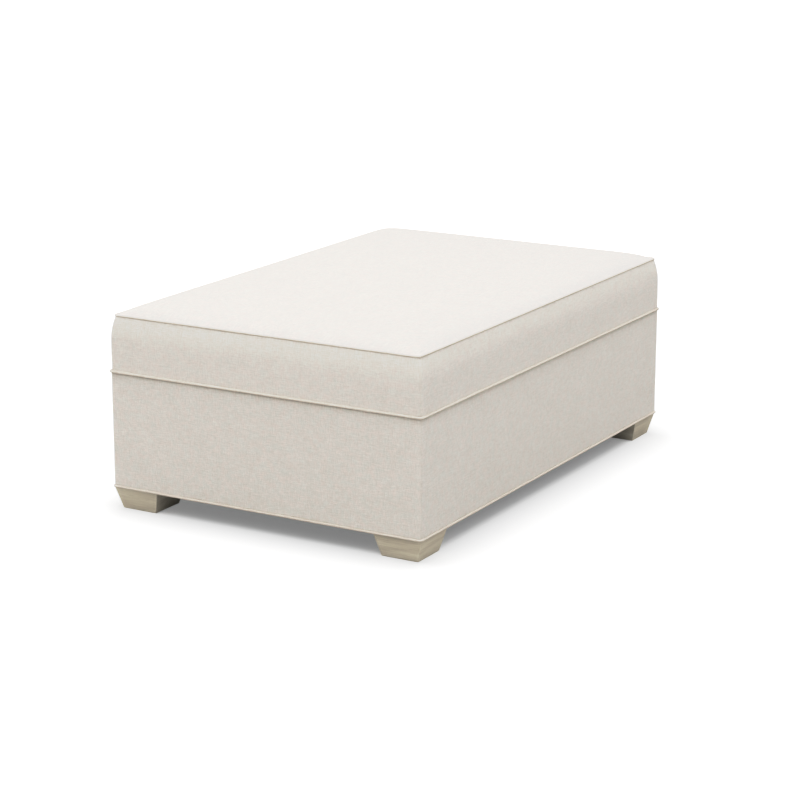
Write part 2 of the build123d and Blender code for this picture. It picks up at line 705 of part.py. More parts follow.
def strut_rod(pivot):
    with BuildPart() as rod:
        add(strut_eye(pivot))
        with Locations(pivot):
            Cylinder(strut_rod_radius, strut_rod_length, align=on_base)
        with Locations(pivot.offset(strut_rod_length - piston_length)):
            Cylinder(strut_bore_radius - piston_clearance, piston_length, align=on_base)
        with Locations(pivot):
            Cylinder(stud_radius + stud_clearance, eye_thickness, rotation=(0, 90, 0), mode=Mode.SUBTRACT)
    return rod.part


strut_run = Vector(0, lid_pivot_y - base_pivot_y, lid_pivot_z - base_pivot_z)
for name, side in ends.items():
    lower_pivot = Plane(origin=(side * strut_x, base_pivot_y, base_pivot_z), x_dir=(1, 0, 0), z_dir=strut_run)
    upper_pivot = Plane(origin=(side * strut_x, lid_pivot_y, lid_pivot_z), x_dir=(1, 0, 0), z_dir=-strut_run)
    save(base_bracket(side), f"{name}_base_bracket")
    save(lid_bracket(side), f"{name}_lid_bracket")
    save(strut_tube(lower_pivot), f"{name}_strut_tube")
    save(strut_rod(upper_pivot), f"{name}_strut_rod")
save(wood_screws(base_bracket_screw_places, bracket_screw_length), "base_bracket_screws")
save(wood_screws(lid_bracket_screw_places, bracket_screw_length), "lid_bracket_screws")

# The strut's length with the lid shut and open, and the room left for the piston when it is open
open_angle = radians(strut_base_angle - lid_pivot_angle + lid_opening_angle)
strut_open_length = 2 * strut_reach * sin(open_angle / 2)
piston_top = strut_open_length - strut_rod_length + piston_length
guide_room = eye_neck_length + strut_tube_length - strut_guide_length - piston_top
print(f"lid hinge at y {hinge_y:.3f}, z {hinge_z:.3f}")
print(f"{knuckle_count} knuckles and {hinge_screw_count} screws in each leaf")
print(f"lower strut pivots at x {strut_x:.3f}, y {base_pivot_y:.3f}, z {base_pivot_z:.3f}")
print(f"upper strut pivots at x {strut_x:.3f}, y {lid_pivot_y:.3f}, z {lid_pivot_z:.3f}")
print(f"strut {strut_closed_length:.1f} shut and {strut_open_length:.1f} open, room {guide_room:.1f}")
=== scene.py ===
"""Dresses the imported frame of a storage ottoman: covers, piping, fillings, linings, finishes and studio."""

import math

import bmesh
import bpy
from bpy.props import FloatProperty, FloatVectorProperty, IntProperty, PointerProperty
from mathutils import Matrix, Vector, noise


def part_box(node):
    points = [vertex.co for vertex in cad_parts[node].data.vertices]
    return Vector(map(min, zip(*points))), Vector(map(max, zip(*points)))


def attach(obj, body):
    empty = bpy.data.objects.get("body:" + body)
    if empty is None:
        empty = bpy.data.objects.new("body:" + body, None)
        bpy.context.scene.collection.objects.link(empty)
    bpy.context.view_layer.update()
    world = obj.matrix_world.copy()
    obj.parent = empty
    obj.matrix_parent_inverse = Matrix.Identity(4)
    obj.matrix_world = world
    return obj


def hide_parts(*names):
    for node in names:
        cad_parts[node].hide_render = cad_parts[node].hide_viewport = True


bl_info = {
    "name": "Storage Ottoman",
    "version": (1, 0, 0),
    "blender": (4, 5, 0),
    "location": "View3D > Sidebar > Ottoman",
    "description": "Builds the covers, piping, linings, finishes and studio of a storage ottoman",
    "category": "Object",
}

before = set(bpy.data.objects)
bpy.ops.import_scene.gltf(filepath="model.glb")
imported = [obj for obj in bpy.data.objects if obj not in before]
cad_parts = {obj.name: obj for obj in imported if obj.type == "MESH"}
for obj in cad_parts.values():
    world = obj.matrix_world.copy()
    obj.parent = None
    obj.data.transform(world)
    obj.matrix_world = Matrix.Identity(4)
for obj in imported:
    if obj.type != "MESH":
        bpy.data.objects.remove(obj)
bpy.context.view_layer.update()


def lowest(node):
    return Vector(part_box(node)[0])


def highest(node):
    return Vector(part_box(node)[1])


# Places that the frame gives, in metres
HALF_LENGTH = highest("right_cover").x
HALF_WIDTH = highest("rear_cover").y
COVER_BOTTOM = lowest("front_cover").z
COVER_TOP = highest("front_cover").z
FRAME_TOP = highest("front_panel").z
CROWN_TOP = highest("top_cover").z
WELT_RADIUS = (highest("top_welt").z - lowest("top_welt").z) / 2
POCKET_HALF = highest("hinge_lid_leaf").x + 0.001
POCKET_FRONT = lowest("hinge_lid_leaf").y - 0.001
BUMPER_RADIUS = 0.006

# Way along each side, way out of it, half its length and the distance of its face
SIDES = {
    "front": (Vector((1, 0, 0)), Vector((0, -1, 0)), HALF_LENGTH, HALF_WIDTH),
    "right": (Vector((0, 1, 0)), Vector((1, 0, 0)), HALF_WIDTH, HALF_LENGTH),
    "rear": (Vector((-1, 0, 0)), Vector((0, 1, 0)), HALF_LENGTH, HALF_WIDTH),
    "left": (Vector((0, -1, 0)), Vector((-1, 0, 0)), HALF_WIDTH, HALF_LENGTH),
}
CORNERS = ("front_left", "front_right", "rear_left", "rear_right")
EIGHTH_TURN, QUARTER_TURN = math.radians(45), math.radians(90)
SEAM_TURN = math.radians(135)  # at most, where the cloth rolls into a corner seam

# Soft tone response of a print: shares of its white level, and the shares of full brightness that they print as
FILM_WHITE = 1.25
FILM_SHARES = (
    (0.176, 0.22), (0.32, 0.496), (0.384, 0.601), (0.448, 0.693), (0.56, 0.760), (0.69, 0.814), (0.80, 0.874),
)

# The camera's place in degrees and metres, and its lens in millimetres
AZIMUTH, ELEVATION, DISTANCE = -59.946, 14.908, 5.5853
AIM_HEIGHT, AIM_RIGHT = 0.17073, 0.00083
LENS, SENSOR = 104.726, 36


# Sizes and colours that can be changed in the sidebar
def length_of(name, text, default, low=0.0):
    return FloatProperty(name=name, description=text, default=default, min=low, unit="LENGTH")


def amount_of(name, text, default, **limits):
    return FloatProperty(name=name, description=text, default=default, min=0, **limits)


def tone_of(name, text, default):
    return FloatVectorProperty(name=name, description=text, subtype="COLOR", default=default, min=0, max=1)


class OttomanShape(bpy.types.PropertyGroup):
    cloth_thickness: length_of("Cloth thickness", "Thickness of the outer cloth", 0.0012, 0.0004)
    corner_radius: length_of("Corner radius", "Rounding of the box's upright corners", 0.007, 0.004)
    boxing_corner: length_of("Boxing corner", "Rounding of the cushion's upright corners", 0.0115, 0.004)
    fold_radius: length_of("Seam fold", "Rounding of the cloth where it turns into a seam", 0.0008, 0.0004)
    seam_lean: length_of("Seam lean", "How far the boxing leans in at the top seam", 0.0094)
    lean_reach: length_of("Lean reach", "How far below the top seam the lean starts", 0.06, 0.02)
    seam_drop: length_of("Seam drop", "Top seam below the highest point of the crown", 0.0179)
    crown_reach: length_of("Crown reach", "How gently the crown rises from its seam", 0.020, 0.005)
    seam_swell: length_of("Seam swell", "Swelling over the seam allowance beside a corner seam", 0.0009)
    slackness: length_of("Slackness", "Slow unevenness of the stretched cloth", 0.0005)
    staple_pitch: length_of("Staple pitch", "Distance between the staples of the dust cover", 0.048, 0.02)
    welt_sides: IntProperty(name="Welt sides", description="Facets round the piping cord", default=14, min=8)


class OttomanCloth(bpy.types.PropertyGroup):
    pale_yarn: tone_of("Pale yarn", "Lightest linen yarn", (0.862, 0.802, 0.748))
    deep_yarn: tone_of("Deep yarn", "Darkest linen yarn", (0.651, 0.602, 0.545))
    cool_cast: tone_of("Cool cast", "Tint of the cooler patches", (0.966, 1.0, 0.986))
    warm_cast: tone_of("Warm cast", "Tint of the warmer patches", (1.0, 0.977, 0.958))
    yarn_pitch: length_of("Yarn pitch", "Distance between neighbouring yarns", 0.0009, 0.0003)
    lining_tone: tone_of("Lining", "Cotton lining", (0.48, 0.44, 0.385))


class OttomanWood(bpy.types.PropertyGroup):
    oak_pale: tone_of("Oak, pale", "Pale wood between the grain lines", (0.705, 0.655, 0.545))
    oak_deep: tone_of("Oak, deep", "Wood in the grain lines", (0.445, 0.393, 0.309))
    ply_tone: tone_of("Plywood", "Birch face of the plywood", (0.60, 0.45, 0.28))
    pine_tone: tone_of("Pine", "Frame blocks and cleats", (0.64, 0.46, 0.26))


class OttomanStudio(bpy.types.PropertyGroup):
    ambient: amount_of("Ambient", "Strength of the white surroundings", 0.30)
    backdrop: amount_of("Backdrop", "Brightness of the surroundings as the lens sees them", 1.3)
    key: amount_of("Key", "Strength of the overhead key light", 2.7)
    key_softness: amount_of("Key softness", "Width of the key light from the floor, in degrees", 110, max=180)
    key_from: FloatVectorProperty(
        name="Key from", description="Direction that the key light comes from",
        subtype="XYZ", default=(-0.03, -0.01, 1.0),
    )
    softbox: amount_of("Softbox", "Power of the overhead softbox", 27.0, unit="POWER")
    softbox_size: length_of("Softbox size", "Side of the overhead softbox", 3.2, 0.1)
    softbox_place: FloatVectorProperty(
        name="Softbox place", description="Middle of the overhead softbox",
        subtype="TRANSLATION", default=(-0.40, 0.10, 1.6),
    )
    floor_tone: amount_of("Floor tone", "Paleness of the floor as the lens sees it", 0.60, max=1)
    floor_bounce: amount_of("Floor bounce", "Paleness of the floor in the light thrown up", 0.465, max=1)
    # Glow of the floor that only the lens sees: painted light, which lifts the shade under the ottoman; the far
    # glow comes in away from its outline and leaves a painted shadow round it
    floor_glow: amount_of("Floor glow", "Light that comes up through the floor near the ottoman", 0.20)
    far_glow: amount_of("Far glow", "Light added to that further out", 0.75)
    glow_start: length_of("Glow start", "How far inside the ottoman's outline the far glow starts", 0.035)
    glow_fade: length_of("Glow fade", "Distance over which the far glow comes in", 0.16, 0.01)


# Small tools of the workshop
def choose(*objects):
    """Leaves only these objects selected, with the last one active."""
    if bpy.context.object and bpy.context.object.mode != "OBJECT":
        bpy.ops.object.mode_set(mode="OBJECT")
    bpy.ops.object.select_all(action="DESELECT")
    for obj in objects:
        obj.select_set(True)
    if objects:
        bpy.context.view_layer.objects.active = objects[-1]


def evenly(start, end, step):
    count = max(1, math.ceil(abs(end - start) / step - 1e-6))
    return [start + (end - start) * i / count for i in range(count + 1)]


def mirrored(stops):
    return [-s for s in stops] + list(stops)


def in_order(*runs):
    """Joins runs of numbers into one rising list without repeats."""
    found = []
    for value in sorted(v for run in runs for v in run):
        if not found or value - found[-1] > 1e-5:
            found.append(value)
    return found


def lay_cloth(name, columns, rows, place, lay, seam):
    """Puts a grid of cloth in place. The UV map is the flat cloth; an attribute holds the way to a seam."""
    choose()
    across, along = len(columns) - 1, len(rows) - 1
    bpy.ops.mesh.primitive_grid_add(x_subdivisions=across, y_subdivisions=along, size=1)
    cloth = bpy.context.object
    cloth.name = cloth.data.name = name
    mesh = cloth.data
    spots = []
    for vertex in mesh.vertices:
        spots.append((columns[round((vertex.co.x + 0.5) * across)], rows[round((vertex.co.y + 0.5) * along)]))
        vertex.co = place(*spots[-1])
    flat = mesh.uv_layers[0].data
    for loop in mesh.loops:
        flat[loop.index].uv = lay(*spots[loop.vertex_index])
    distance = mesh.attributes.new("seam", "FLOAT", "POINT")
    for index, spot in enumerate(spots):
        distance.data[index].value = seam(*spot)
    return cloth


def cube(name, low, high):
    """Adds a box between two corners."""
    choose()
    bpy.ops.mesh.primitive_cube_add(size=1, location=(low + high) / 2)
    box = bpy.context.object
    box.name = box.data.name = name
    bpy.ops.transform.resize(value=high - low)
    bpy.ops.object.transform_apply(location=True, rotation=True, scale=True)
    return box


def finish_with(obj, kind, **settings):
    """Adds a modifier and applies it."""
    modifier = obj.modifiers.new(kind.title(), kind)
    for key, value in settings.items():
        setattr(modifier, key, value)
    choose(obj)
    bpy.ops.object.modifier_apply(modifier=modifier.name)


def thicken(obj, thickness):
    finish_with(obj, "SOLIDIFY", thickness=thickness, offset=-1)


def bevel(obj, width, segments, angle=55):
    limit = math.radians(angle)
    finish_with(obj, "BEVEL", width=width, segments=segments, limit_method="ANGLE", angle_limit=limit)


def fit(obj, body, slot, material, *nodes, angle=50):
    """Smooths a piece, gives it its finish and its body, and lets it stand for CAD nodes."""
    choose(obj)
    bpy.ops.object.shade_smooth_by_angle(angle=math.radians(angle))
    obj.data.materials.clear()
    obj.data.materials.append(finish(material))
    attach(obj, body)
    if nodes:
        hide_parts(*nodes)


def edit(obj, mode="FACE"):
    choose(obj)
    bpy.ops.object.mode_set(mode="EDIT")
    bpy.ops.mesh.select_mode(type=mode)
    bpy.ops.mesh.select_all(action="DESELECT")


def rework(obj, *jobs):
    """Runs tools of the edit mode on a whole mesh."""
    edit(obj)
    bpy.ops.mesh.select_all(action="SELECT")
    for tool, settings in jobs:
        tool(**settings)
    bpy.ops.object.mode_set(mode="OBJECT")


def select_faces(obj, wanted):
    """Selects, from edit mode, the faces whose middle and normal pass a test."""
    mesh = bmesh.from_edit_mesh(obj.data)
    for face in mesh.faces:
        face.select_set(bool(wanted(face.calc_center_median(), face.normal)))
    bmesh.update_edit_mesh(obj.data)


def remove_faces(obj, wanted):
    edit(obj)
    select_faces(obj, wanted)
    bpy.ops.mesh.delete(type="FACE")
    bpy.ops.object.mode_set(mode="OBJECT")


def joined(name, pieces):
    choose(*pieces)
    bpy.ops.object.join()
    whole = bpy.context.object
    whole.name = whole.data.name = name
    return whole


def flat_map(obj):
    """Lays the faces flat by the axis that each looks along, in metres."""
    mesh = obj.data
    layer = mesh.uv_layers[0] if mesh.uv_layers else mesh.uv_layers.new(name="UVMap")
    for face in mesh.polygons:
        sizes = [abs(c) for c in face.normal]
        first, second = [(1, 2), (0, 2), (0, 1)][sizes.index(max(sizes))]
        for index in face.loop_indices:
            place = mesh.vertices[mesh.loops[index].vertex_index].co
            layer.data[index].uv = (place[first], place[second])


def slow_wave(x, y, z, scale):
    return noise.noise(Vector((x, y, z)) * scale)


def ramp(distance, reach):
    """Rises from 0 at the edge to 1 at a distance."""
    return min(1, max(distance, 0) / reach)


# Forms of the body that several pieces follow
def lean(height):
    """How far the side of the cushion stands in from the body's face at a height."""
    shape = bpy.context.scene.ottoman_shape
    rise, inward = shape.lean_reach, shape.seam_lean
    start = CROWN_TOP - shape.seam_drop - rise
    if height <= start or inward <= 0:
        return 0.0
    radius = (rise**2 + inward**2) / (2 * inward)
    return radius - math.sqrt(radius**2 - min(height - start, rise) ** 2)


def crown(x, y, half_x, half_y):
    """Height of the crown above its seam."""
    shape = bpy.context.scene.ottoman_shape
    in_x, in_y = max(half_x - abs(x), 0), max(half_y - abs(y), 0)
    share_x, share_y = 1 - math.exp(-in_x / shape.crown_reach), 1 - math.exp(-in_y / shape.crown_reach)
    return shape.seam_drop * share_x * share_y


def rounded(x, y, half_x, half_y, radius):
    """Draws a place on a rectangle in where the rectangle's corners are rounded."""
    over_x, over_y = abs(x) - (half_x - radius), abs(y) - (half_y - radius)
    if over_x > 0 and over_y > 0:
        p, q = over_x / radius, over_y / radius
        x = math.copysign(half_x - radius + radius * p * math.sqrt(1 - q * q / 2), x)
        y = math.copysign(half_y - radius + radius * q * math.sqrt(1 - p * p / 2), y)
    return x, y


def seam_start(fold, corner):
    """Angle round a corner at which the cloth starts to fold into the corner seam."""
    gap = fold / 6
    return EIGHTH_TURN - math.asin((fold + gap) / (corner - fold))


def round_corner(s, half, inset, radius, fold, corner):
    """Follows a side round half a corner into the seam: place along, depth behind the face, and direction."""
    straight = half - corner
    if abs(s) <= straight:
        return s * (half - inset - radius) / straight, 0.0, 0.0
    past = abs(s) - straight
    start = seam_start(fold, corner)
    turn = min(past / corner, start)
    along = half - inset - radius + radius * math.sin(turn)
    depth = radius * (1 - math.cos(turn))
    rest = past - start * corner
    if rest > 0:
        bend = fold * min(1.0, radius / corner)
        turn = min(start + rest / fold, SEAM_TURN)
        along += bend * (math.sin(turn) - math.sin(start))
        depth += bend * (math.cos(start) - math.cos(turn))
        rest -= (SEAM_TURN - start) * fold
        if rest > 0:
            tuck = min(rest, radius / 2)
            along -= tuck * math.sin(EIGHTH_TURN)
            depth += tuck * math.sin(EIGHTH_TURN)
    return math.copysign(along, s), depth, turn


def corner_stops(half, fold, corner):
    """Distances from the middle of a side at which the cloth has a column of points, and where its arc ends."""
    straight = half - corner
    start = seam_start(fold, corner)
    arc = straight + start * corner
    roll = arc + (SEAM_TURN - start) * fold
    beside = [straight - d for d in (0.0016, 0.0034, 0.0055, 0.008, 0.012, 0.018, 0.026)]
    side = beside + evenly(straight, arc, 0.0011) + evenly(arc, roll, 0.0005) + [roll + 0.0022]
    return in_order(mirrored(side), evenly(-straight + 0.034, straight - 0.034, 0.012)), arc


def side_strip(name, side, section, radius_at, fullness):
    """A strip of cloth along one side, up a section of places (inset, height), between its corner seams."""
    shape = bpy.context.scene.ottoman_shape
    along, outward, half, face = SIDES[side]
    fold = shape.fold_radius * (0.25 + 0.75 * fullness)
    corner = radius_at(0)
    columns, arc = corner_stops(half, fold, corner)
    travelled = section[0][1]
    rows = [(travelled, *section[0])]
    for before, here in zip(section, section[1:]):
        travelled += math.dist(before, here)
        rows.append((travelled, *here))
    first, last = rows[0][0], rows[-1][0]
    swell_from_seam, swell_width, drawn_tight = 0.0032, 0.0022, 0.03

    def place(s, row):
        travelled, inset, height = row
        run, depth, turn = round_corner(s, half, inset, radius_at(inset), fold, corner)
        spot = along * run + outward * (face - inset - depth) + Vector((0, 0, height))
        from_seam = max(arc - abs(s), 0)
        swell = shape.seam_swell * fullness * math.exp(-(((from_seam - swell_from_seam) / swell_width) ** 2))
        edge = min(travelled - first, last - travelled)
        calm = ramp(edge, drawn_tight) * ramp(from_seam, drawn_tight)
        wave = slow_wave(*spot, 4.3) + 0.5 * slow_wave(*spot, 11)
        swing = outward * math.cos(turn) + along * math.copysign(math.sin(turn), s)
        return spot + swing * (swell * ramp(edge, 0.004) + shape.slackness * calm * wave)

    def seam(s, row):
        return min(max(arc - abs(s), 0), max(row[0] - first, 0), max(last - row[0], 0))

    offset = {"front": 0.0, "right": 1.31, "rear": 2.47, "left": 3.83}[side]
    return lay_cloth(name, columns, rows, place, lambda s, row: (s + offset, row[0]), seam)


def ring_stations(half_x, half_y, radius, step):
    """Places round a rounded rectangle from its rear middle, each with its way out and its distance."""
    stations, travelled, heading = [], 0.0, math.pi
    spot = Vector((0, half_y, 0))
    long_leg, short_leg = half_x - radius, half_y - radius
    arc_parts = 8
    for number, leg in enumerate((long_leg, 2 * short_leg, 2 * long_leg, 2 * short_leg, long_leg)):
        forward = Vector((math.cos(heading), math.sin(heading), 0))
        outward = Vector((forward.y, -forward.x, 0))
        for d in evenly(0, leg, step)[: None if number == 4 else -1]:
            stations.append((spot + forward * d, outward, travelled + d))
        spot, travelled = spot + forward * leg, travelled + leg
        if number < 4:
            centre = spot - outward * radius
            for part in range(arc_parts):
                angle = QUARTER_TURN * part / arc_parts
                turned = Matrix.Rotation(angle, 3, "Z") @ outward
                stations.append((centre + turned * radius, turned, travelled + radius * angle))
            spot = centre + (Matrix.Rotation(QUARTER_TURN, 3, "Z") @ outward) * radius
            travelled += radius * QUARTER_TURN
            heading += QUARTER_TURN
    return stations


# Finishes
def feed(tree, inputs, values):
    """Fills inputs with values or links."""
    for key, value in values.items():
        if isinstance(value, bpy.types.NodeSocket):
            tree.links.new(value, inputs[key])
        else:
            inputs[key].default_value = value


def put(tree, kind, inputs, **settings):
    """Adds a shader node, sets its options and fills its inputs."""
    node = tree.nodes.new("ShaderNode" + kind)
    for key, value in settings.items():
        setattr(node, key, value)
    feed(tree, node.inputs, inputs)
    return node.outputs


def reckon(tree, operation, *values):
    return put(tree, "Math", dict(enumerate(values)), operation=operation)[0]


def times(tree, first, second):
    return reckon(tree, "MULTIPLY", first, second)


def times_add(tree, first, second, added):
    return reckon(tree, "MULTIPLY_ADD", first, second, added)


def vector_reckon(tree, operation, *values, **named):
    return put(tree, "VectorMath", dict(enumerate(values)) | named, operation=operation)[0]


def blend_colours(tree, factor, first, second, kind="MIX"):
    return put(tree, "Mix", {0: factor, 6: first, 7: second}, data_type="RGBA", blend_type=kind)[2]


def rescale(tree, value, low, high, new_low=0.0, new_high=1.0):
    inputs = {"Value": value, "From Min": low, "From Max": high, "To Min": new_low, "To Max": new_high}
    return put(tree, "MapRange", inputs)[0]


def grain_noise(tree, vector, scale, detail=2.0, roughness=0.5):
    inputs = {"Vector": vector, "Scale": scale, "Detail": detail, "Roughness": roughness}
    return put(tree, "TexNoise", inputs)[0]


def mapped(tree, vector, scale, place=(0, 0, 0)):
    return put(tree, "Mapping", {"Vector": vector, "Location": place, "Scale": scale})[0]


def combined(tree, x, y, z):
    return put(tree, "CombineXYZ", {0: x, 1: y, 2: z})[0]


def parted(tree, vector):
    return put(tree, "SeparateXYZ", {0: vector})


def shaded(tree, colour, level):
    """Multiplies a colour by a level of grey."""
    grey = put(tree, "CombineColor", {0: level, 1: level, 2: level})[0]
    return blend_colours(tree, 1.0, colour, grey, "MULTIPLY")


def new_group(name, takes, gives):
    """Makes a node group from the names and kinds of what it takes and gives."""
    group = bpy.data.node_groups.new(name, "ShaderNodeTree")
    for way, sockets in (("INPUT", takes), ("OUTPUT", gives)):
        for label, kind in sockets.items():
            group.interface.new_socket(name=label, in_out=way, socket_type="NodeSocket" + kind)
    return group, group.nodes.new("NodeGroupInput").outputs, group.nodes.new("NodeGroupOutput").inputs


SURFACE = {"Colour": "Color", "Roughness": "Float", "Height": "Float"}


def woven_cloth():
    """Plain weave with uneven yarns, slubs, heathered colour, gathers and a painted highlight beside the seams,
    and painted shade in its hollows.
    """
    takes = {"Cloth": "Vector", "Pale": "Color", "Deep": "Color", "Cool": "Color", "Warm": "Color"}
    takes |= dict.fromkeys(("Pitch", "Slubs", "Mottle", "Seam", "Pucker and highlight"), "Float")
    tree, take, give = new_group("Plain weave", takes, SURFACE)
    cloth = take["Cloth"]
    threads = vector_reckon(tree, "DIVIDE", cloth, combined(tree, take["Pitch"], take["Pitch"], 1.0))
    wander = put(tree, "TexNoise", {"Vector": threads, "Scale": 0.06, "Detail": 2.0})[1]
    wander = vector_reckon(tree, "SUBTRACT", wander, (0.5, 0.5, 0.5))
    wander = vector_reckon(tree, "SCALE", wander, Scale=1.6)
    parts = parted(tree, vector_reckon(tree, "ADD", threads, wander))
    yarn_x, yarn_y = reckon(tree, "FLOOR", parts[0]), reckon(tree, "FLOOR", parts[1])
    over = reckon(tree, "FLOORED_MODULO", reckon(tree, "ADD", yarn_x, yarn_y), 2.0)
    under = reckon(tree, "SUBTRACT", 1.0, over)
    heights, tones, slubs = [], [], []
    for yarn, across, run, above, shift in (
        (yarn_x, parts[0], parts[1], over, 3.1),
        (yarn_y, parts[1], parts[0], under, 61.7),
    ):
        profile = reckon(tree, "SINE", times(tree, reckon(tree, "FRACT", across), math.pi))
        track = combined(tree, times(tree, yarn, 1.37), times(tree, run, 0.045), shift)
        thick = combined(tree, times(tree, yarn, 0.41), times(tree, run, 0.085), shift + 17)
        slub = rescale(tree, grain_noise(tree, thick, 1.0, 1.5, 0.5), 0.56, 0.74)
        raised = times(tree, times_add(tree, above, 0.55, 0.45), times_add(tree, slub, 0.45, 0.8))
        heights.append(times(tree, profile, raised))
        tones.append(grain_noise(tree, track, 1.0, 3.0, 0.6))
        slubs.append(slub)
    upper = reckon(tree, "GREATER_THAN", heights[0], heights[1])
    height = reckon(tree, "MAXIMUM", heights[0], heights[1])

    def of_upper(pair):
        return put(tree, "Mix", {0: upper, 2: pair[1], 3: pair[0]})[0]

    tone = rescale(tree, of_upper(tones), 0.30, 0.70)
    slub = times(tree, of_upper(slubs), take["Slubs"])
    flecks = []
    for scale, shift in (((58, 400, 1), 0.0), ((330, 95, 1), 9.3)):
        flecks.append(grain_noise(tree, mapped(tree, cloth, scale, (shift, shift, 0)), 1.0, 2.0, 0.55))
    fleck = rescale(tree, reckon(tree, "ADD", *flecks), 0.72, 1.28, -1.0, 1.0)
    broad = rescale(tree, grain_noise(tree, cloth, 19.0, 3.0, 0.6), 0.33, 0.67, -1.0, 1.0)
    light = times_add(tree, times(tree, fleck, take["Slubs"]), 0.18, tone)
    light = times_add(tree, times(tree, broad, take["Mottle"]), 0.05, light)
    light = put(tree, "Clamp", {0: times_add(tree, slub, 0.18, light)})[0]
    colour = blend_colours(tree, light, take["Deep"], take["Pale"])
    patches = grain_noise(tree, mapped(tree, cloth, (1, 1, 1), (5, 2, 0)), 58.0, 3.0, 0.62)
    tint = blend_colours(tree, rescale(tree, patches, 0.36, 0.64), take["Cool"], take["Warm"])
    tinted = blend_colours(tree, 1.0, colour, tint, "MULTIPLY")
    colour = blend_colours(tree, take["Mottle"], colour, tinted)
    # Painted shade in the hollows between the yarns, and beside a seam a painted highlight; there the cloth
    # also draws into fine gathers
    seam_highlight = times(tree, reckon(tree, "EXPONENT", times(tree, take["Seam"], -330.0)), take["Pucker and highlight"])
    near = times(tree, reckon(tree, "EXPONENT", times(tree, take["Seam"], -170.0)), take["Pucker and highlight"])
    gathers = rescale(tree, grain_noise(tree, cloth, 85.0, 1.0, 0.4), 0.3, 0.7, 0.0, 2.2)
    # Painted shade, darker where the weave lies low, with the painted highlight beside a seam
    weave_shade_and_seam_highlight = times_add(tree, seam_highlight, 0.06, times_add(tree, height, 0.20, 0.84))
    feed(tree, give, {
        "Colour": shaded(tree, colour, weave_shade_and_seam_highlight),
        "Roughness": times_add(tree, height, -0.10, 0.93),
        "Height": times_add(tree, near, gathers, height),
    })
    return tree


def wood_grain():
    """Long grain with pores, cathedral bands and mineral streaks; the first axis runs along the grain."""
    takes = {"Place": "Vector", "Pale": "Color", "Deep": "Color", "Bands": "Float", "Pores": "Float"}
    tree, take, give = new_group("Wood grain", takes, SURFACE)
    place = take["Place"]
    long_way = mapped(tree, place, (3.2, 42, 42))
    drift = grain_noise(tree, mapped(tree, place, (2.2, 9, 9)), 1.0, 2.0)
    parts = parted(tree, long_way)
    turned = times_add(tree, drift, 9.0, reckon(tree, "ADD", parts[1], parts[2]))
    bands = times_add(tree, reckon(tree, "SINE", times(tree, turned, 4.4)), 0.5, 0.5)
    fibres = grain_noise(tree, mapped(tree, place, (14, 420, 420)), 1.0, 3.0, 0.65)
    pores = rescale(tree, grain_noise(tree, mapped(tree, place, (46, 900, 900)), 1.0, 2.0), 0.60, 0.72)
    streak = rescale(tree, grain_noise(tree, long_way, 0.6, 3.0), 0.3, 0.7)
    mix = times_add(tree, times(tree, bands, take["Bands"]), 0.30, times(tree, streak, 0.30))
    mix = times_add(tree, rescale(tree, fibres, 0.3, 0.7), 0.38, mix)
    mix = times_add(tree, times(tree, pores, take["Pores"]), 0.35, mix)
    mix = put(tree, "Clamp", {0: mix})[0]
    feed(tree, give, {
        "Colour": blend_colours(tree, mix, take["Pale"], take["Deep"]),
        "Roughness": times_add(tree, mix, 0.16, 0.52),
        "Height": times(tree, mix, -1.0),
    })
    return tree


def fine_surface():
    """Speckle and drift for foam, felt, castings and paint."""
    takes = {"Place": "Vector", "Size": "Float", "Base": "Color", "Contrast": "Float"}
    tree, take, give = new_group("Fine surface", takes, {"Colour": "Color", "Relief": "Float"})
    fine = grain_noise(tree, take["Place"], reckon(tree, "DIVIDE", 1.0, take["Size"]), 3.0, 0.6)
    drift = grain_noise(tree, take["Place"], 24.0, 2.0)
    mixed = times_add(tree, drift, 0.4, times(tree, fine, 0.6))
    level = times_add(tree, reckon(tree, "SUBTRACT", mixed, 0.5), take["Contrast"], 1.0)
    feed(tree, give, {"Colour": shaded(tree, take["Base"], level), "Relief": fine})
    return tree


def new_material(name):
    """Makes a material and returns its nodes and the inputs of its shader."""
    material = bpy.data.materials.new(name)
    material.use_nodes = True
    return material.node_tree, material.node_tree.nodes["Principled BSDF"].inputs


def bump(tree, height, depth):
    return put(tree, "Bump", {"Strength": 1.0, "Distance": depth, "Height": height})[0]


def cloth_material(name, group, yarns, pitch, slubs, mottle, pucker_and_highlight, depth, sheen):
    """Cloth on its flat map. yarns are the pale and the deep yarn, and the cool and the warm cast."""
    tree, shader = new_material(name)
    values = {key: (*tone, 1) for key, tone in zip(("Pale", "Deep", "Cool", "Warm"), yarns)}
    values |= {"Pitch": pitch, "Slubs": slubs, "Mottle": mottle, "Pucker and highlight": pucker_and_highlight}
    values["Cloth"] = put(tree, "UVMap", {}, uv_map="UVMap")[0]
    values["Seam"] = put(tree, "Attribute", {}, attribute_name="seam")["Fac"]
    weave = put(tree, "Group", values, node_tree=group)
    feed(tree, shader, {
        "Base Color": weave["Colour"], "Roughness": weave["Roughness"], "Specular IOR Level": 0.12,
        "Normal": bump(tree, weave["Height"], depth), "Sheen Weight": sheen, "Sheen Roughness": 0.45,
    })


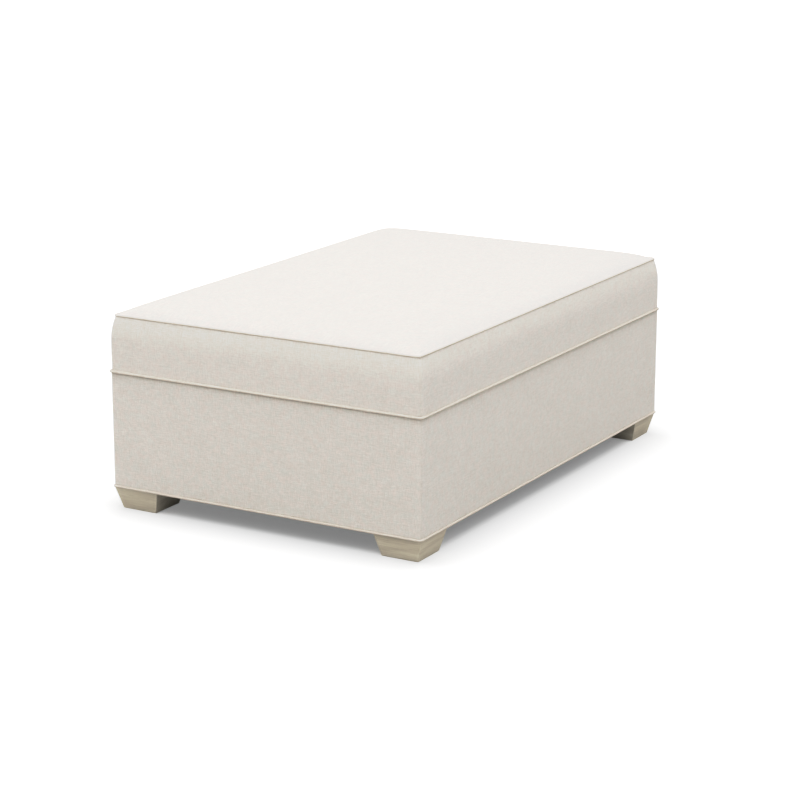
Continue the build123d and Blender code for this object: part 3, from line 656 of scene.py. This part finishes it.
def timber_material(name, group, pale, deep, bands, pores, by_face):
    """Timber on object coordinates. by_face lays the grain level on each upright face."""
    tree, shader = new_material(name)
    place = put(tree, "TexCoord", {})
    where = place["Object"]
    if by_face:
        parts, normal = parted(tree, where), parted(tree, place["Normal"])
        size_x, size_y = reckon(tree, "ABSOLUTE", normal[0]), reckon(tree, "ABSOLUTE", normal[1])
        front, end = combined(tree, parts[0], parts[2], 0.31), combined(tree, parts[1], parts[2], 0.73)
        looks_x = reckon(tree, "GREATER_THAN", size_x, size_y)
        where = put(tree, "Mix", {0: looks_x, 4: front, 5: end}, data_type="VECTOR")[1]
    values = {"Place": where, "Pale": (*pale, 1), "Deep": (*deep, 1), "Bands": bands, "Pores": pores}
    grain = put(tree, "Group", values, node_tree=group)
    feed(tree, shader, {
        "Base Color": grain["Colour"], "Roughness": grain["Roughness"],
        "Normal": bump(tree, grain["Height"], 0.00012), "Specular IOR Level": 0.3,
    })


def plain_material(
    name, group, base, size, contrast, depth, roughness, metallic=0.0, spread=0.15, specular=0.5, sheen=0.0
):
    """Metal, paint, plastic, foam or felt with its own fine surface."""
    tree, shader = new_material(name)
    where = put(tree, "TexCoord", {})["Object"]
    values = {"Place": where, "Size": size, "Base": (*base, 1), "Contrast": contrast}
    surface = put(tree, "Group", values, node_tree=group)
    low, high = max(roughness - spread, 0.02), roughness + spread
    feed(tree, shader, {
        "Base Color": surface["Colour"], "Roughness": rescale(tree, surface["Relief"], 0.25, 0.75, low, high),
        "Normal": bump(tree, surface["Relief"], depth), "Metallic": metallic, "Specular IOR Level": specular,
        "Sheen Weight": sheen,
    })


METAL = {"metallic": 1.0}
SOFT = {"specular": 0.1}

# Colour, size and contrast of the speckle, depth of the relief, roughness, and what differs from the rest
PLAIN_FINISHES = {
    "foam": ((0.72, 0.66, 0.48), 0.0012, 0.35, 0.0006, 0.9, SOFT | {"spread": 0.05}),
    "wadding": ((0.80, 0.80, 0.79), 0.0035, 0.25, 0.0012, 0.95, SOFT | {"spread": 0.03, "sheen": 0.3}),
    "felt": ((0.115, 0.108, 0.10), 0.0008, 0.6, 0.0004, 0.95, SOFT | {"spread": 0.04, "sheen": 0.4}),
    "nylon_glide": ((0.045, 0.042, 0.04), 0.0006, 0.15, 0.00002, 0.38, {}),
    "zinc_plate": ((0.62, 0.64, 0.66), 0.0015, 0.12, 0.000002, 0.36, METAL),
    "nickel_plate": ((0.70, 0.68, 0.64), 0.0020, 0.10, 0.000002, 0.34, METAL),
    "black_paint": ((0.018, 0.018, 0.019), 0.0009, 0.2, 0.00003, 0.42, {}),
    "tube_paint": ((0.014, 0.014, 0.015), 0.0012, 0.2, 0.00002, 0.28, {}),
    "polished_rod": ((0.80, 0.80, 0.82), 0.0030, 0.05, 0.000001, 0.12, METAL | {"spread": 0.04}),
    "staple_wire": ((0.56, 0.57, 0.58), 0.0010, 0.12, 0.00001, 0.3, METAL),
}


def finish(name):
    """Returns a finish by name, and makes the whole set the first time."""
    if name not in bpy.data.materials:
        cloth, wood = bpy.context.scene.ottoman_cloth, bpy.context.scene.ottoman_wood
        weave, grain, fine = woven_cloth(), wood_grain(), fine_surface()
        casts = (cloth.cool_cast, cloth.warm_cast)
        pale, deep, lining = Vector(cloth.pale_yarn), Vector(cloth.deep_yarn), Vector(cloth.lining_tone)
        # The piping's yarns are a darker, warmer copy of the cover's: partly the cord's own warmer tone, partly
        # painted shade that holds down the overhead light on the cord
        piping_tone_and_shade = (pale * Vector((0.865, 0.84, 0.805)), deep * Vector((0.945, 0.915, 0.875)))
        black, white = Vector((0.022, 0.022, 0.024)), (1, 1, 1)
        pitch = cloth.yarn_pitch
        # Pitch of the yarns, slubs, mottle, gathers and painted highlight beside a seam, depth of the weave and
        # sheen
        for label, yarns, values in (
            ("linen", (pale, deep, *casts), (pitch, 1.0, 1.0, 1.0, 0.00035, 0.25)),
            ("linen_piping", (*piping_tone_and_shade, *casts), (pitch, 0.5, 0.4, 0.0, 0.0003, 0.08)),
            ("cotton_lining", (lining * 1.07, lining * 0.9, *casts), (0.0006, 0.25, 0.35, 0.4, 0.0002, 0.1)),
            ("dust_cloth", (black * 1.5, black, white, white), (0.0016, 0.4, 0.3, 0.5, 0.0002, 0.05)),
        ):
            cloth_material(label, weave, yarns, *values)
        timber_material("washed_oak", grain, wood.oak_pale, wood.oak_deep, 0.75, 1.0, True)
        timber_material("birch_plywood", grain, wood.ply_tone, Vector(wood.ply_tone) * 0.72, 0.35, 0.15, False)
        timber_material("pine", grain, wood.pine_tone, Vector(wood.pine_tone) * 0.62, 1.0, 0.1, False)
        for label, (*values, rest) in PLAIN_FINISHES.items():
            plain_material(label, fine, *values, **rest)
    return bpy.data.materials[name]


class OTTOMAN_OT_finish_frame(bpy.types.Operator):
    """Gives wood, plastic and metal finishes to the rigid pieces of the frame"""

    bl_idname = "ottoman.finish_frame"
    bl_label = "Finish the frame"

    def execute(self, context):
        ends = ("left", "right")
        finishes = {
            "washed_oak": [f"{corner}_foot" for corner in CORNERS],
            "nylon_glide": ["foot_glides"],
            "zinc_plate": ["hanger_bolts", "tee_nuts", "frame_screws"],
            "pine": [f"{c}_corner_block" for c in CORNERS] + [f"{s}_cleat" for s in SIDES] + ["floor_bearer"],
            "birch_plywood": [
                "front_panel", "rear_panel", "left_end_panel", "right_end_panel", "floor_panel", "lid_board",
            ],
            "nickel_plate": [
                "hinge_base_leaf", "hinge_lid_leaf", "hinge_pin", "hinge_base_screws", "hinge_lid_screws",
            ],
            "black_paint": [f"{end}_{part}_bracket" for end in ends for part in ("base", "lid")],
            "staple_wire": ["base_bracket_screws", "lid_bracket_screws"],
            "tube_paint": [f"{end}_strut_tube" for end in ends],
            "polished_rod": [f"{end}_strut_rod" for end in ends],
        }
        for name, nodes in finishes.items():
            for node in nodes:
                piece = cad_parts[node]
                if not piece.material_slots:
                    piece.data.materials.append(finish(name))
                for slot in piece.material_slots:
                    slot.material = finish(name)
        return {"FINISHED"}


class OTTOMAN_OT_top_panel(bpy.types.Operator):
    """Makes the crowned top panel, with its edge turned down into the seam"""

    bl_idname = "ottoman.top_panel"
    bl_label = "Top panel"

    def execute(self, context):
        shape = context.scene.ottoman_shape
        radius = shape.corner_radius
        half_x, half_y = HALF_LENGTH - shape.seam_lean, HALF_WIDTH - shape.seam_lean
        seam_height = CROWN_TOP - shape.seam_drop
        rise = (0.010, 0.014, 0.019, 0.025, 0.032, 0.040, 0.050, 0.062, 0.076, 0.092)

        def stops(half):
            side = evenly(half - radius, half, radius / 5) + [half - d for d in rise]
            return in_order(mirrored(side), evenly(-half + 0.11, half - 0.11, 0.018))

        def place(x, y):
            x, y = rounded(x, y, half_x, half_y, radius)
            height = crown(x, y, half_x, half_y)
            wave = slow_wave(x, y, 3.7, 3.1) + 0.4 * slow_wave(x, y, 8.1, 9)
            unevenness = shape.slackness * wave * height / shape.seam_drop
            return Vector((x, y, seam_height + height + unevenness))

        def seam(x, y):
            return max(min(half_x - abs(x), half_y - abs(y)), 0)

        def lay(x, y):
            return x + 5.2, y + 1.9

        panel = lay_cloth("top_panel", stops(half_x), stops(half_y), place, lay, seam)
        edit(panel, "EDGE")
        bpy.ops.mesh.select_non_manifold()
        for drop, shrink in ((0.0006, 0.9999), (0.0012, 0.9992), (0.0030, 0.9990)):
            bpy.ops.mesh.extrude_region_move(TRANSFORM_OT_translate={"value": (0, 0, -drop)})
            bpy.ops.transform.resize(value=(shrink, shrink, 1), center_override=(0, 0, 0))
        bpy.ops.object.mode_set(mode="OBJECT")
        thicken(panel, shape.cloth_thickness)
        fit(panel, "lid", "upholstery", "linen", "top_cover")
        return {"FINISHED"}


class OTTOMAN_OT_boxing(bpy.types.Operator):
    """Makes the four boxing strips of the lid, sewn together at the corners"""

    bl_idname = "ottoman.boxing"
    bl_label = "Boxing strips"

    def execute(self, context):
        shape = context.scene.ottoman_shape
        foot = lowest("lid_welt").z + 0.0012
        seam = CROWN_TOP - shape.seam_drop - 0.0018
        heights = in_order(
            [foot + d for d in (0, 0.0012, 0.0026, 0.0042, 0.0062, 0.009, 0.013)],
            evenly(foot + 0.020, seam - 0.022, 0.0085),
            [seam - d for d in (0.015, 0.010, 0.0066, 0.004, 0.002, 0.0)],
        )
        section = [(lean(z), z) for z in heights]
        inset, height = section[-1]
        turned_in = ((0.0003, 0.0006), (0.001, 0.0009), (0.0034, 0.001))
        section += [(inset + inward, height + up) for inward, up in turned_in]
        for side in SIDES:
            strip = side_strip(f"{side}_boxing_strip", side, section, lambda inset: shape.boxing_corner, 1.0)
            thicken(strip, shape.cloth_thickness)
            fit(strip, "lid", "upholstery", "linen", f"{side}_boxing")
        return {"FINISHED"}


class OTTOMAN_OT_base_covers(bpy.types.Operator):
    """Makes the four cover panels of the box, turned over its rim and under its lower edge"""

    bl_idname = "ottoman.base_covers"
    bl_label = "Base covers"

    def execute(self, context):
        shape = context.scene.ottoman_shape
        bottom, top = COVER_BOTTOM + 0.0001, COVER_TOP
        rim = HALF_WIDTH - lowest("rear_panel").y
        under = [(0.0065, bottom), (0.0012, bottom), (0.0004, bottom + 0.0004), (0.0, bottom + 0.0012)]
        face = in_order(
            [bottom + d for d in (0.003, 0.005, 0.008, 0.012, 0.018)],
            evenly(bottom + 0.027, FRAME_TOP - 0.022, 0.012),
            [FRAME_TOP - d for d in (0.015, 0.009, 0.005, 0.002, 0.0)],
        )
        # A padded lip under the lid's piping, and then flat over the rim
        lip = (
            (0.0, -0.0005), (0.0003, 0.0004), (0.0010, 0.0009), (0.0020, 0.0011), (0.0034, 0.0008),
            (0.0050, 0.0002), (0.0066, 0), (0.012, 0), (0.018, 0),
        )
        inner = [(rim - 0.0018, top), (rim - 0.0006, top - 0.0003), (rim, top - 0.0012), (rim, top - 0.009)]
        section = under + [(0.0, z) for z in face] + [(inward, top + up) for inward, up in lip] + inner

        def corner(inset):
            return max(shape.corner_radius - inset, 0.0006)

        for side in SIDES:
            cover = side_strip(f"{side}_base_cover", side, section, corner, 0.35)
            if side == "rear":
                remove_faces(cover, lambda at, normal: abs(at.x) < POCKET_HALF and at.z > FRAME_TOP)
            thicken(cover, shape.cloth_thickness)
            fit(cover, "base", "upholstery", "linen", f"{side}_cover")
        return {"FINISHED"}


class OTTOMAN_OT_piping(bpy.types.Operator):
    """Makes the three piping cords, covered on the bias and joined at the rear"""

    bl_idname = "ottoman.piping"
    bl_label = "Piping"

    # Node, body, name, place on the cloth, and how far the sewn cord settles up and in
    cords = (
        ("top_welt", "lid", "top_piping", 0.0, -0.0009, 0.0032),
        ("lid_welt", "lid", "lid_piping", 4.1, -0.0022, 0.0),
        ("base_welt", "base", "base_piping", 8.3, 0.0006, 0.0),
    )

    def execute(self, context):
        shape = context.scene.ottoman_shape
        sides, bias = shape.welt_sides, math.sqrt(0.5)
        angles = [math.pi + math.tau * i / sides for i in range(sides + 1)]
        for node, body, name, shift, up, inward in self.cords:
            high, low = highest(node), lowest(node)
            half_x, half_y = high.x - WELT_RADIUS - inward, high.y - WELT_RADIUS - inward
            middle = (high.z + low.z) / 2
            corner = shape.corner_radius if node == "top_welt" else shape.corner_radius + half_x - HALF_LENGTH
            stations = ring_stations(half_x, half_y, corner, 0.006)
            length = stations[-1][2]

            def place(station, angle):
                centre, outward, travelled = station
                round_trip = math.tau * travelled / length
                ring = Vector((math.cos(round_trip), math.sin(round_trip), 0)) * length / math.tau
                uneven = noise.noise(ring * 90 + Vector((shift, 0, 0))) * 0.00010
                sway = noise.noise(ring * 14 + Vector((0, shift, 0))) * 0.00018
                radius = WELT_RADIUS - 0.00008 + uneven
                # Over the hinge the lid's cord stays clear of the knuckles
                over_hinge = node == "lid_welt" and centre.y > 0
                settled = ramp(abs(centre.x) - POCKET_HALF, 0.02) if over_hinge else 1.0
                height = middle + up * settled + sway + radius * math.sin(angle)
                return centre + outward * (radius * math.cos(angle) - abs(sway)) + Vector((0, 0, height))

            def lay(station, angle):
                round_it = angle * WELT_RADIUS
                return (station[2] + round_it) * bias + shift, (station[2] - round_it) * bias

            cord = lay_cloth(name, stations, angles, place, lay, lambda station, angle: 1.0)
            rework(cord, (bpy.ops.mesh.remove_doubles, {"threshold": 0.00001}))
            fit(cord, body, "upholstery", "linen_piping", node, angle=80)
        return {"FINISHED"}


def stuffed_block(name, node, inset):
    """A block of foam or fibre that follows the cushion's form at an inset."""
    shape = bpy.context.scene.ottoman_shape
    low, high = lowest(node).z, highest(node).z
    out_x, out_y = HALF_LENGTH - inset, HALF_WIDTH - inset
    block = cube(name, Vector((-out_x, -out_y, low)), Vector((out_x, out_y, high)))
    rework(block, (bpy.ops.mesh.subdivide, {"number_cuts": 31}))
    seam = CROWN_TOP - shape.seam_drop - inset
    half_x, half_y = out_x - shape.seam_lean, out_y - shape.seam_lean
    # The upright corners stay inside the rounder corners of the boxing
    pull = (shape.boxing_corner - shape.corner_radius) / 2
    for vertex in block.data.vertices:
        at_x, at_y, at_z = vertex.co
        share = (at_z - low) / (high - low)
        height = low + share * (seam - low)
        drawn = lean(height + inset)
        x, y = at_x * (1 - drawn / out_x), at_y * (1 - drawn / out_y)
        if abs(at_x) > out_x - 0.001 and abs(at_y) > out_y - 0.001:
            x, y = x - math.copysign(pull, x), y - math.copysign(pull, y)
        vertex.co = (x, y, height + crown(x, y, half_x, half_y) * max(0, share - 0.5) * 2)
    bevel(block, 0.003, 3)
    flat_map(block)
    return block


class OTTOMAN_OT_filling(bpy.types.Operator):
    """Makes the seat foam, the fibre over it and the fibre round the box"""

    bl_idname = "ottoman.filling"
    bl_label = "Foam and fibre"

    def execute(self, context):
        shape = context.scene.ottoman_shape
        fibre_inset = shape.cloth_thickness + 0.0003
        foam_inset = HALF_LENGTH - highest("seat_foam").x
        foam = stuffed_block("seat_pad", "seat_foam", foam_inset)
        fit(foam, "lid", "foam", "foam", "seat_foam", angle=40)
        fibre = stuffed_block("seat_fibre", "seat_wadding", fibre_inset)
        floor = min(v.co.z for v in fibre.data.vertices)
        remove_faces(fibre, lambda at, normal: at.z < floor + 0.0005)
        thicken(fibre, foam_inset - fibre_inset - 0.0006)
        fit(fibre, "lid", "wadding", "wadding", "seat_wadding", angle=40)

        gap = Vector((0.0003, 0.0003, 0.0004))
        band = cube("base_fibre", lowest("base_wadding") + gap, highest("base_wadding") - gap)
        remove_faces(band, lambda at, normal: abs(normal.z) > 0.5)
        bevel(band, shape.corner_radius - shape.cloth_thickness, 5)
        thicken(band, 0.0056)
        bevel(band, 0.001, 2)
        flat_map(band)
        fit(band, "base", "wadding", "wadding", "base_wadding", angle=40)
        return {"FINISHED"}


class OTTOMAN_OT_linings(bpy.types.Operator):
    """Makes the sewn lining of the storage well and the lining under the lid"""

    bl_idname = "ottoman.linings"
    bl_label = "Linings"

    thickness = 0.0008
    turn_radius = 0.006

    def execute(self, context):
        self.line_well()
        self.line_lid()
        return {"FINISHED"}

    def line_well(self):
        low, high = lowest("storage_lining"), highest("storage_lining")
        half_x, half_y = high.x - self.thickness, high.y - self.thickness
        floor = low.z + self.thickness
        lower, upper = Vector((-half_x, -half_y, floor + 0.001)), Vector((half_x, half_y, high.z - 0.001))
        well = cube("well_lining", lower, upper)
        remove_faces(well, lambda at, normal: normal.z > 0.5)
        rework(well, (bpy.ops.mesh.subdivide, {"number_cuts": 47}), (bpy.ops.mesh.flip_normals, {}))
        top = max(v.co.z for v in well.data.vertices)
        for vertex in well.data.vertices:
            x, y, z = vertex.co
            from_x, from_y = half_x - abs(x), half_y - abs(y)
            if min(from_x, from_y) < 1e-5:
                push = 0.0004 + 0.0005 * slow_wave(x, y, z, 6)
                push *= ramp(z - floor, 0.03) * ramp(top - z, 0.03) * ramp(abs(from_x) + abs(from_y), 0.03)
                if from_x < from_y:
                    vertex.co.x -= math.copysign(push, x)
                else:
                    vertex.co.y -= math.copysign(push, y)
            else:
                lift = max(0, 0.0004 + 0.0006 * slow_wave(x, y, 1.5, 5))
                vertex.co.z += lift * ramp(min(from_x, from_y), 0.04)
        bevel(well, self.turn_radius / 2, 2, 60)
        flat_map(well)
        edge = well.data.attributes.new("seam", "FLOAT", "POINT")
        for index, vertex in enumerate(well.data.vertices):
            x, y, z = vertex.co
            edge.data[index].value = max(sorted((half_x - abs(x), half_y - abs(y), z - floor))[1], 0)
        thicken(well, self.thickness)
        fit(well, "base", "lining", "cotton_lining", "storage_lining", angle=40)

    def line_lid(self):
        low, high = lowest("lid_lining"), highest("lid_lining")
        out_x, out_y = high.x, high.y
        across = in_order(evenly(-out_x, out_x, 0.014), mirrored([POCKET_HALF, out_x - 0.004]))
        along = in_order(evenly(-out_y, out_y, 0.014), [POCKET_FRONT], mirrored([out_y - 0.004]))[::-1]

        def from_pocket(x, y):
            return max(abs(x) - POCKET_HALF, POCKET_FRONT - y)

        def hang(x, y):
            pocket = from_pocket(x, y) if y > 0 else 1
            calm = ramp(min(out_x - abs(x), out_y - abs(y)), 0.04) * ramp(abs(pocket), 0.04)
            x, y = rounded(x, y, out_x, out_y, self.turn_radius)
            return Vector((x, y, low.z - 0.0006 * calm * (0.5 + 0.5 * slow_wave(x, y, 6.2, 5))))

        def seam(x, y):
            return max(min(out_x - abs(x), out_y - abs(y), from_pocket(x, y)), 0)

        sheet = lay_cloth("lid_underlining", across, along, hang, lambda x, y: (x, y), seam)
        remove_faces(sheet, lambda at, normal: abs(at.x) < POCKET_HALF and at.y > POCKET_FRONT)
        thicken(sheet, self.thickness)
        fit(sheet, "lid", "lining", "cotton_lining", "lid_lining", angle=40)


class OTTOMAN_OT_dust_cover(bpy.types.Operator):
    """Makes the black dust cover under the box and its row of staples"""

    bl_idname = "ottoman.dust_cover"
    bl_label = "Dust cover"

    def execute(self, context):
        low, high = lowest("dust_cover"), highest("dust_cover")
        out_x, out_y = high.x - 0.001, high.y - 0.001
        hem, from_corner = 0.012, 0.14
        # The feet hold the cloth up beyond these places
        held_x, held_y = 0.48, 0.28
        across = in_order(evenly(-out_x, out_x, 0.02), mirrored([out_x - hem, out_x - hem - 0.0008]))
        along = in_order(evenly(-out_y, out_y, 0.02), mirrored([out_y - hem, out_y - hem - 0.0008]))[::-1]

        def from_edge(x, y):
            return min(out_x - abs(x), out_y - abs(y))

        def place(x, y):
            folded = 0.0003 if from_edge(x, y) <= hem + 0.0001 else 0.0
            at_foot = abs(x) > held_x and abs(y) > held_y
            sag = 0.0 if at_foot else 0.0012 * ramp(from_edge(x, y) - hem, 0.12)
            return Vector((x, y, low.z + 0.0002 - folded - sag * (0.7 + 0.3 * slow_wave(x, y, 2.2, 4))))

        def seam(x, y):
            return max(from_edge(x, y) - hem, 0)

        cloth = lay_cloth("underside_cloth", across, along, place, lambda x, y: (x, y), seam)
        thicken(cloth, 0.0005)
        fit(cloth, "base", "dust_cloth", "dust_cloth", "dust_cover", angle=30)

        first = cube("staple", Vector((-0.005, -0.0006, low.z - 0.0006)), Vector((0.005, 0.0006, low.z)))
        finish_with(first, "BEVEL", width=0.00025, segments=2, limit_method="NONE")
        pitch = context.scene.ottoman_shape.staple_pitch
        row_x = evenly(-out_x + from_corner, out_x - from_corner, pitch)
        row_y = evenly(-out_y + from_corner, out_y - from_corner, pitch)
        spots = [(x, side * (out_y - hem / 2), 0) for side in (-1, 1) for x in row_x]
        spots += [(side * (out_x - hem / 2), y, 90) for side in (-1, 1) for y in row_y]
        staples = []
        for index, (x, y, turn) in enumerate(spots):
            staple = first.copy()
            staple.data = first.data.copy()
            context.scene.collection.objects.link(staple)
            tilt = math.radians(turn + 9 * noise.noise(Vector((index * 1.7, 0.3, 0))))
            staple.data.transform(Matrix.Translation((x, y, 0)) @ Matrix.Rotation(tilt, 4, "Z"))
            staples.append(staple)
        choose(first)
        bpy.ops.object.delete()
        fit(joined("dust_cover_staples", staples), "base", "zinc", "staple_wire", angle=30)
        return {"FINISHED"}


class OTTOMAN_OT_bumpers(bpy.types.Operator):
    """Makes the four felt bumpers that the lid comes down on"""

    bl_idname = "ottoman.bumpers"
    bl_label = "Felt bumpers"

    def execute(self, context):
        low, high = lowest("lid_bumpers"), highest("lid_bumpers")
        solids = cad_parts["lid_bumpers"].data.vertices
        half_spacing = max(v.co.x for v in solids if v.co.y < -0.2) - BUMPER_RADIUS
        side_reach, front_reach = high.x - BUMPER_RADIUS, -low.y - BUMPER_RADIUS
        pads = []
        front = [(-half_spacing, -front_reach), (half_spacing, -front_reach)]
        for x, y in front + [(-side_reach, 0), (side_reach, 0)]:
            choose()
            middle = (x, y, (low.z + high.z) / 2)
            bpy.ops.mesh.primitive_cylinder_add(
                vertices=40, radius=BUMPER_RADIUS, depth=high.z - low.z, location=middle
            )
            pad = context.object
            edit(pad)
            select_faces(pad, lambda at, normal: normal.z > 0.5)
            bpy.ops.mesh.inset(thickness=0.0015)
            bpy.ops.transform.translate(value=(0, 0, 0.00012))
            bpy.ops.object.mode_set(mode="OBJECT")
            bpy.ops.object.transform_apply(location=True, rotation=True, scale=True)
            bevel(pad, 0.0004, 3, 50)
            pads.append(pad)
        fit(joined("felt_bumpers", pads), "base", "felt", "felt", "lid_bumpers", angle=40)
        return {"FINISHED"}


class OTTOMAN_OT_studio(bpy.types.Operator):
    """Sets up the pale floor, the soft lights and the camera"""

    bl_idname = "ottoman.studio"
    bl_label = "Studio"

    def execute(self, context):
        self.lay_floor(context, context.scene.ottoman_studio)
        self.light(context, context.scene.ottoman_studio)
        self.set_camera(context)
        return {"FINISHED"}

    def lay_floor(self, context, studio):
        choose()
        bpy.ops.mesh.primitive_plane_add(size=60, location=(0, 0, 0))
        floor = context.object
        floor.name = "studio_floor"
        tree, shader = new_material("studio_floor")
        # The floor glows for the lens only: painted light that lifts the shade under the ottoman, and, with the
        # far glow fading in away from its outline, a painted shadow round it
        seen = put(tree, "LightPath", {})["Is Camera Ray"]
        corner = (HALF_LENGTH - studio.glow_start, HALF_WIDTH - studio.glow_start, 0.0)
        apart = vector_reckon(tree, "ABSOLUTE", put(tree, "TexCoord", {})["Object"])
        apart = vector_reckon(tree, "MAXIMUM", vector_reckon(tree, "SUBTRACT", apart, corner), (0.0, 0.0, 0.0))
        apart = put(tree, "VectorMath", {0: apart}, operation="LENGTH")["Value"]
        fade = reckon(tree, "EXPONENT", reckon(tree, "DIVIDE", apart, -studio.glow_fade))
        glow = rescale(tree, fade, 1.0, 0.0, studio.floor_glow, studio.floor_glow + studio.far_glow)
        feed(tree, shader, {
            "Base Color": rescale(tree, seen, 0.0, 1.0, studio.floor_bounce, studio.floor_tone),
            "Emission Strength": times(tree, seen, glow), "Emission Color": (1, 1, 1, 1),
            "Roughness": 0.9, "Specular IOR Level": 0.1,
        })
        floor.data.materials.append(bpy.data.materials["studio_floor"])

    def light(self, context, studio):
        bpy.ops.object.light_add(type="SUN", location=(0, 0, 3))
        key = context.object
        key.name = "overhead_key"
        key.data.energy = studio.key
        key.data.angle = math.radians(studio.key_softness)
        key.rotation_euler = Vector(studio.key_from).to_track_quat("Z", "Y").to_euler()
        bpy.ops.object.light_add(type="AREA", location=studio.softbox_place)
        softbox = context.object
        softbox.name = "overhead_softbox"
        softbox.data.energy = studio.softbox
        softbox.data.size = studio.softbox_size
        softbox.visible_camera = False

        world = bpy.data.worlds.new("studio_surroundings")
        world.use_nodes = True
        tree = world.node_tree
        behind = put(tree, "LightPath", {})["Is Camera Ray"]
        strength = rescale(tree, behind, 0.0, 1.0, studio.ambient, studio.backdrop)
        feed(tree, tree.nodes["Background"].inputs, {"Color": (1, 1, 1, 1), "Strength": strength})
        context.scene.world = world
        view = context.scene.view_settings
        view.view_transform = "Standard"
        view.use_curve_mapping = True
        view.curve_mapping.white_level = (FILM_WHITE, FILM_WHITE, FILM_WHITE)
        for light, shown in FILM_SHARES:
            view.curve_mapping.curves[3].points.new(light, shown)
        view.curve_mapping.update()

    def set_camera(self, context):
        azimuth, elevation = math.radians(AZIMUTH), math.radians(ELEVATION)
        right = Vector((math.cos(azimuth), math.sin(azimuth), 0))
        level = Vector((math.sin(azimuth), -math.cos(azimuth), 0))
        back = level * math.cos(elevation) + Vector((0, 0, math.sin(elevation)))
        up = back.cross(right)
        bpy.ops.object.camera_add()
        camera = context.object
        camera.name = "studio_camera"
        camera.data.lens, camera.data.sensor_width = LENS, SENSOR
        place = Vector((0, 0, AIM_HEIGHT)) + right * AIM_RIGHT + back * DISTANCE
        camera.matrix_world = Matrix.Translation(place) @ Matrix((right, up, back)).transposed().to_4x4()
        context.scene.camera = camera


GROUPS = {
    "ottoman_shape": OttomanShape,
    "ottoman_cloth": OttomanCloth,
    "ottoman_wood": OttomanWood,
    "ottoman_studio": OttomanStudio,
}
STEPS = (
    OTTOMAN_OT_finish_frame,
    OTTOMAN_OT_filling,
    OTTOMAN_OT_top_panel,
    OTTOMAN_OT_boxing,
    OTTOMAN_OT_base_covers,
    OTTOMAN_OT_piping,
    OTTOMAN_OT_linings,
    OTTOMAN_OT_dust_cover,
    OTTOMAN_OT_bumpers,
    OTTOMAN_OT_studio,
)


class OTTOMAN_PT_sidebar(bpy.types.Panel):
    bl_label = "Storage ottoman"
    bl_idname = "OTTOMAN_PT_sidebar"
    bl_space_type = "VIEW_3D"
    bl_region_type = "UI"
    bl_category = "Ottoman"

    def draw(self, context):
        for group in GROUPS:
            settings = getattr(context.scene, group)
            box = self.layout.box()
            for key in settings.__annotations__:
                box.prop(settings, key)
        for step in STEPS:
            self.layout.operator(step.bl_idname)


CLASSES = (*GROUPS.values(), *STEPS, OTTOMAN_PT_sidebar)


def register():
    for item in CLASSES:
        bpy.utils.register_class(item)
    for key, group in GROUPS.items():
        setattr(bpy.types.Scene, key, PointerProperty(type=group))


def unregister():
    for key in GROUPS:
        delattr(bpy.types.Scene, key)
    for item in reversed(CLASSES):
        bpy.utils.unregister_class(item)


def main():
    register()
    for step in STEPS:
        area, name = step.bl_idname.split(".")
        getattr(getattr(bpy.ops, area), name)()


if __name__ == "__main__":
    main()
